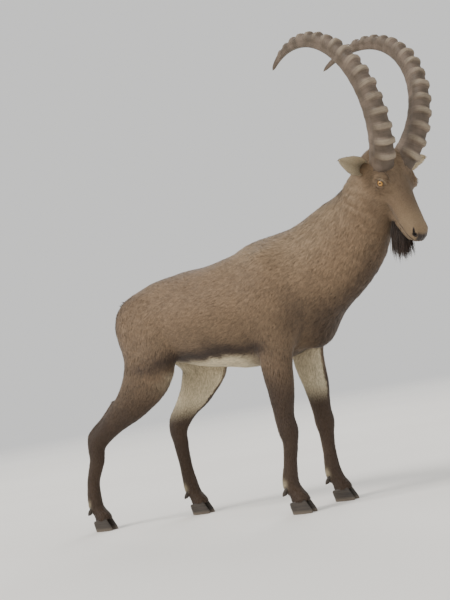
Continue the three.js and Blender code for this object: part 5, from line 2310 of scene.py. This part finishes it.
class Strands:
    """Long coarse hair as thin tapered strands, gathered in one mesh."""

    # Corners of a strand's section, across and over its flat side, and their places on the map
    SECTION = ((1, 0), (0, 0.45), (-1, 0), (0, -0.45))
    LEAF = (1.0, 0.5, 0.0, 0.5)

    def __init__(self, pelt: Pelt) -> None:
        """Starts with no strand.

        Args:
            pelt: The colour of all of them.
        """
        self.colour = pelt
        self.points: list[Array] = []
        self.faces: list[tuple] = []
        self.leaf: list[Array] = []
        self.shade: list[float] = []
        self.root: list[Array] = []

    def add(
        self,
        path: Array,
        half: float,
        facing: Array,
        shade: float,
        root: Sequence[float],
    ) -> None:
        """Adds a strand with four sides and a point.

        Args:
            path: Points from root to tip.
            half: Half its width where it is widest.
            facing: The way that its flat side looks.
            shade: From 0, dark, to 1, pale.
            root: Its place on the map.
        """
        first = len(self.shade)
        count = len(path)
        t = np.linspace(0, 1, count)
        run = unit(np.gradient(path, axis=0))
        across = unit(np.cross(facing, run))
        face = np.cross(run, across)
        wide = half * np.clip(1.06 - t**2.2, 0.04, 1) * (0.7 + 0.3 * np.sin(np.pi * np.clip(t * 1.4, 0, 1)))
        body = [
            path[k] + across[k] * wide[k] * a + face[k] * wide[k] * b
            for k in range(count - 1)
            for a, b in self.SECTION
        ]
        self.points.append(np.array([*body, path[-1]]))
        self.faces += moved_faces(grid_faces(count - 1, 4, closed=True), first)
        top, root_shade_to_tip = first + (count - 2) * 4, first + (count - 1) * 4
        self.faces += [(top + c, top + (c + 1) % 4, root_shade_to_tip) for c in range(4)]
        along = np.append(np.repeat(t[:-1], 4), 1.0)
        sides = np.append(np.tile(self.LEAF, count - 1), 0.5)
        self.leaf.append(np.stack([along, sides, np.zeros(len(along))], axis=1))
        self.shade += [shade] * len(along)
        self.root.append(np.tile(root, (len(along), 1)))

    def build(self, name: str) -> Object:
        """Makes the mesh of all strands.

        Args:
            name: Its name.

        Returns:
            The strands as one object.
        """
        obj = mesh_object(name, np.concatenate(self.points), self.faces)
        leaf = np.concatenate(self.leaf)
        store(obj, leaf=leaf, shade=self.shade, vary=1.0, pelt=np.tile(self.colour.rgb, (len(leaf), 1)))
        lay_map(obj, (np.concatenate(self.root) + PATCH * leaf[:, :2])[corner_points(obj)])
        return obj


@dataclass(frozen=True)
class Lock:
    """One lock of the beard. The ways that it leaves the skin and hangs by are as long as the lock."""

    start: Array
    leaving: Array
    hang: Array
    facing: Array
    shade: float
    root: Sequence[float]

    def add_strand(self, hair: Strands, rng: np.random.Generator) -> None:
        """Adds one strand, which turns down as it leaves the skin and waves a little.

        Args:
            hair: What it is added to.
            rng: The draw.
        """
        t = np.linspace(0, 1, 8)[:, None]
        long = rng.uniform(0.8, 1.0)
        spread = rng.normal(size=3) * 4.2
        wave = rng.normal(size=3) * 1.3
        sunk = self.start - 3.0 * unit(self.leaving)
        arc = 0.2 * self.leaving * (1 - (1 - t) ** 3) + 0.94 * self.hang * t**1.3
        path = sunk + long * arc + spread * (1 - 0.7 * t**0.8) + wave * np.sin(t * 5 + self.shade * 6)
        tone = float(np.clip(self.shade + rng.normal() * 0.14, 0, 1))
        hair.add(path, rng.uniform(0.55, 1.05), self.facing, tone, self.root)


@dataclass
class Beard:
    """The beard: locks of long dark hair under the chin, in rows, which turn down as they leave it."""

    length: float = 122.0
    rows: int = 10
    across: int = 8
    strands: int = 15

    def build(self, skin: Skin) -> Object:
        """Makes the beard.

        Args:
            skin: The skin that it grows from.

        Returns:
            The beard.
        """
        rng = np.random.default_rng(SEED + 20)
        hair = Strands(Pelt.BEARD)
        along, left, _ = HEAD.axes
        for row, column in np.ndindex(self.rows, self.across):
            forward = (row + rng.uniform(-0.4, 0.4)) / (self.rows - 1)
            side = 2 * (column + rng.uniform(-0.4, 0.4)) / (self.across - 1) - 1
            leaving = HEAD.direction(0.3, 0.5 * side, -1)
            start = skin.reach(HEAD.point(90 + 50 * forward, side * 9, -34), leaving)
            long = self.length * (1.0 - 0.42 * forward - 0.12 * side * side + rng.uniform(-0.16, 0.06))
            hang = unit(np.array([0.07 * rng.normal(), 0.06 * rng.normal(), -1.0]) + 0.1 * side * left)
            facing = unit(left * (side + 0.3 * rng.normal()) + along * 0.6)
            root = np.clip((0.05 + 0.88 * forward, 0.5 + 0.42 * side), 0.01, 0.99)
            lock = Lock(start, leaving * long, hang * long, facing, rng.uniform(0.1, 0.9), root)
            for _ in range(self.strands):
                lock.add_strand(hair, rng)
        return hair.build("beard_hair")


@dataclass
class Tail:
    """The short tail, with a core of stations as a sweep's, which carries long dark tufts."""

    stations: tuple = (
        (-286, 0, 792, 14, 15), (-348, 0, 780, 12, 15), (-374, 0, 744, 8, 10), (-380, 0, 722, 4, 5),
    )
    blend: float = 10.0
    net: SurfaceNet = SurfaceNet((-425, -40, 690), (-260, 40, 830), 4.0, 4)

    def build(self) -> Object:
        """Makes the core, with all that the tufts read from it.

        Returns:
            The core.
        """
        core = Sweep(self.blend, self.stations)
        points, quads = self.net.build(core.distance)
        obj = mesh_object("tail_core", points, quads)
        normals = unit(gradient(core.distance, points))
        lie = unit(core.distance_and_run(points)[1] + 0.4 * normals)
        under = smoothstep(0.0, 0.8, normals[:, 0])[:, None]
        store(
            obj,
            lie=unit(lie - (lie * normals).sum(axis=1, keepdims=True) * normals),
            pelt=Pelt.DARK.rgb * (1 - under) + Pelt.PALE.rgb * under,
            bare=0.0,
            fur=30.0 + 14.0 * smoothstep(-320, -370, points[:, 0]),
            lift=0.0,
            broad=4.6,
            vary=1.0,
            region=0.0,
        )
        x, y, z = points.T
        turn = np.arctan2(y, z - 740 + 0.5 * (x + 340)) / (2 * math.pi) + 0.5
        uv = np.stack([0.04 + 0.9 * turn, np.clip((x + 400) / 130, 0.02, 0.97)], axis=1)
        lay_map(obj, uv[corner_points(obj)])
        return obj


# Camera, light and floor


@dataclass(frozen=True)
class Sun:
    """One soft light from far away, with its spread in degrees."""

    name: str
    place: tuple
    spread: float
    power: float
    colour: tuple

    def build(self) -> None:
        """Makes the light, aimed at the frame's origin."""
        data = bpy.data.lights.new(self.name, "SUN")
        data.angle = math.radians(self.spread)
        data.energy = self.power
        data.color = self.colour
        obj = placed(self.name, data)
        obj.location = self.place
        obj.rotation_euler = (-Vector(self.place)).to_track_quat("-Z", "Y").to_euler()


@dataclass
class Studio:
    """Plain pale floor, soft lights and the camera of the photograph's framing, in degrees and metres."""

    azimuth: float = 32.3
    elevation: float = -4.1
    roll: float = 9.5
    distance: float = 3.87
    focal_pixels: float = 1130.0
    target: tuple = (-0.112, 0.019, 0.728)
    floor_half: float = 30.0
    suns: tuple = (
        Sun("key", (-2.6, -4.0, 4.4), 24.0, 2.6, (1.0, 0.97, 0.93)),
        Sun("fill", (5.0, -3.0, 2.2), 50.0, 0.7, (0.94, 0.97, 1.0)),
        Sun("rim", (-1.6, 4.4, 3.6), 30.0, 1.1, (1.0, 1.0, 1.0)),
    )

    def build(self, floor: Finish) -> None:
        """Makes floor, camera, lights and background.

        Args:
            floor: The floor's material.
        """
        self._floor(floor)
        self._camera()
        for sun in self.suns:
            sun.build()
        world = bpy.context.scene.world or bpy.data.worlds.new("studio")
        bpy.context.scene.world = world
        world.use_nodes = True
        background = world.node_tree.nodes["Background"]
        background.inputs["Color"].default_value = (0.93, 0.93, 0.92, 1.0)
        background.inputs["Strength"].default_value = 0.92

    def _floor(self, finish: Finish) -> None:
        """Makes the floor, which isn't a piece of the part.

        Args:
            finish: Its material.
        """
        half = self.floor_half
        corners = [(-half, -half, 0), (half, -half, 0), (half, half, 0), (-half, half, 0)]
        mesh = bpy.data.meshes.new("floor")
        mesh.from_pydata(corners, [], [(0, 1, 2, 3)])
        mesh.materials.append(finish.material)
        placed("floor", mesh)

    def _camera(self) -> None:
        """Makes the camera."""
        data = bpy.data.cameras.new("camera")
        data.sensor_fit = "AUTO"
        data.lens = self.focal_pixels * data.sensor_width / PHOTO_HEIGHT
        obj = placed("camera", data)
        a, e, r = (math.radians(v) for v in (self.azimuth, self.elevation, self.roll))
        back = Vector((math.sin(a) * math.cos(e), -math.cos(a) * math.cos(e), math.sin(e)))
        right = Vector((math.cos(a), math.sin(a), 0.0))
        up = back.cross(right)
        turned_right = right * math.cos(r) - up * math.sin(r)
        turned_up = right * math.sin(r) + up * math.cos(r)
        place = Vector(self.target) + back * self.distance
        obj.matrix_world = Matrix((*zip(turned_right, turned_up, back, place), (0, 0, 0, 1)))
        bpy.context.scene.camera = obj


def main() -> None:
    """Builds the animal piece by piece and dresses it."""
    logging.basicConfig(level=logging.INFO, format="%(message)s")
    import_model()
    finishes = Finishes()
    Studio().build(finishes.floor)
    flesh = Flesh()
    eyes = [Eye(side).place(flesh) for side in (-1, 1)]
    hide = Skin(flesh, eyes, Mouth())
    skin = hide.build()
    finish_piece(skin, finishes.skin, "coat", *Skin.NODES)
    grower = TuftGrower(finishes.tuft)
    for growth in GROWTHS:
        number = growth.region.value
        inputs = {"Region": float(number), "Seed": SEED + number, "Disorder": growth.disorder}
        coat = grower.grow(skin, f"coat_{growth.region.name.lower()}", Density=growth.density, **inputs)
        finish_piece(coat, finishes.tuft, "coat")
    cores = [
        ("tail", Tail().build(), "dark_coat", 52_000, 0.45),
        ("ear_right", Ear(-1).build(), "coat", 170_000, 0.3),
        ("ear_left", Ear(1).build(), "coat", 170_000, 0.3),
    ]
    for name, core, slot, density, disorder in cores:
        finish_piece(core, finishes.skin, slot, name)
        inputs = {"Region": 0.0, "Seed": SEED + 20, "Disorder": disorder}
        tufts = grower.grow(core, f"{name}_hair", Density=density, **inputs)
        finish_piece(tufts, finishes.tuft, slot)
    for side in (-1, 1):
        finish_piece(Horn(side).build(), finishes.horn, "horn", f"horn_{side_name(side)}")
    lashes = Strands(Pelt.BARE)
    for eye in eyes:
        finish_piece(Eyeball(eye).build(), finishes.eye, "eye", f"eye_{side_name(eye.side)}")
        lids = Lids(eye)
        finish_piece(lids.build(), finishes.skin, "coat")
        lids.lashes(lashes)
    finish_piece(lashes.build("lashes"), finishes.long, "dark_coat")
    for piece, *nodes in Hooves().build():
        finish_piece(piece, finishes.hoof, "hoof", *nodes)
    finish_piece(Beard().build(hide), finishes.long, "beard", "beard")


if __name__ == "__main__":
    main()
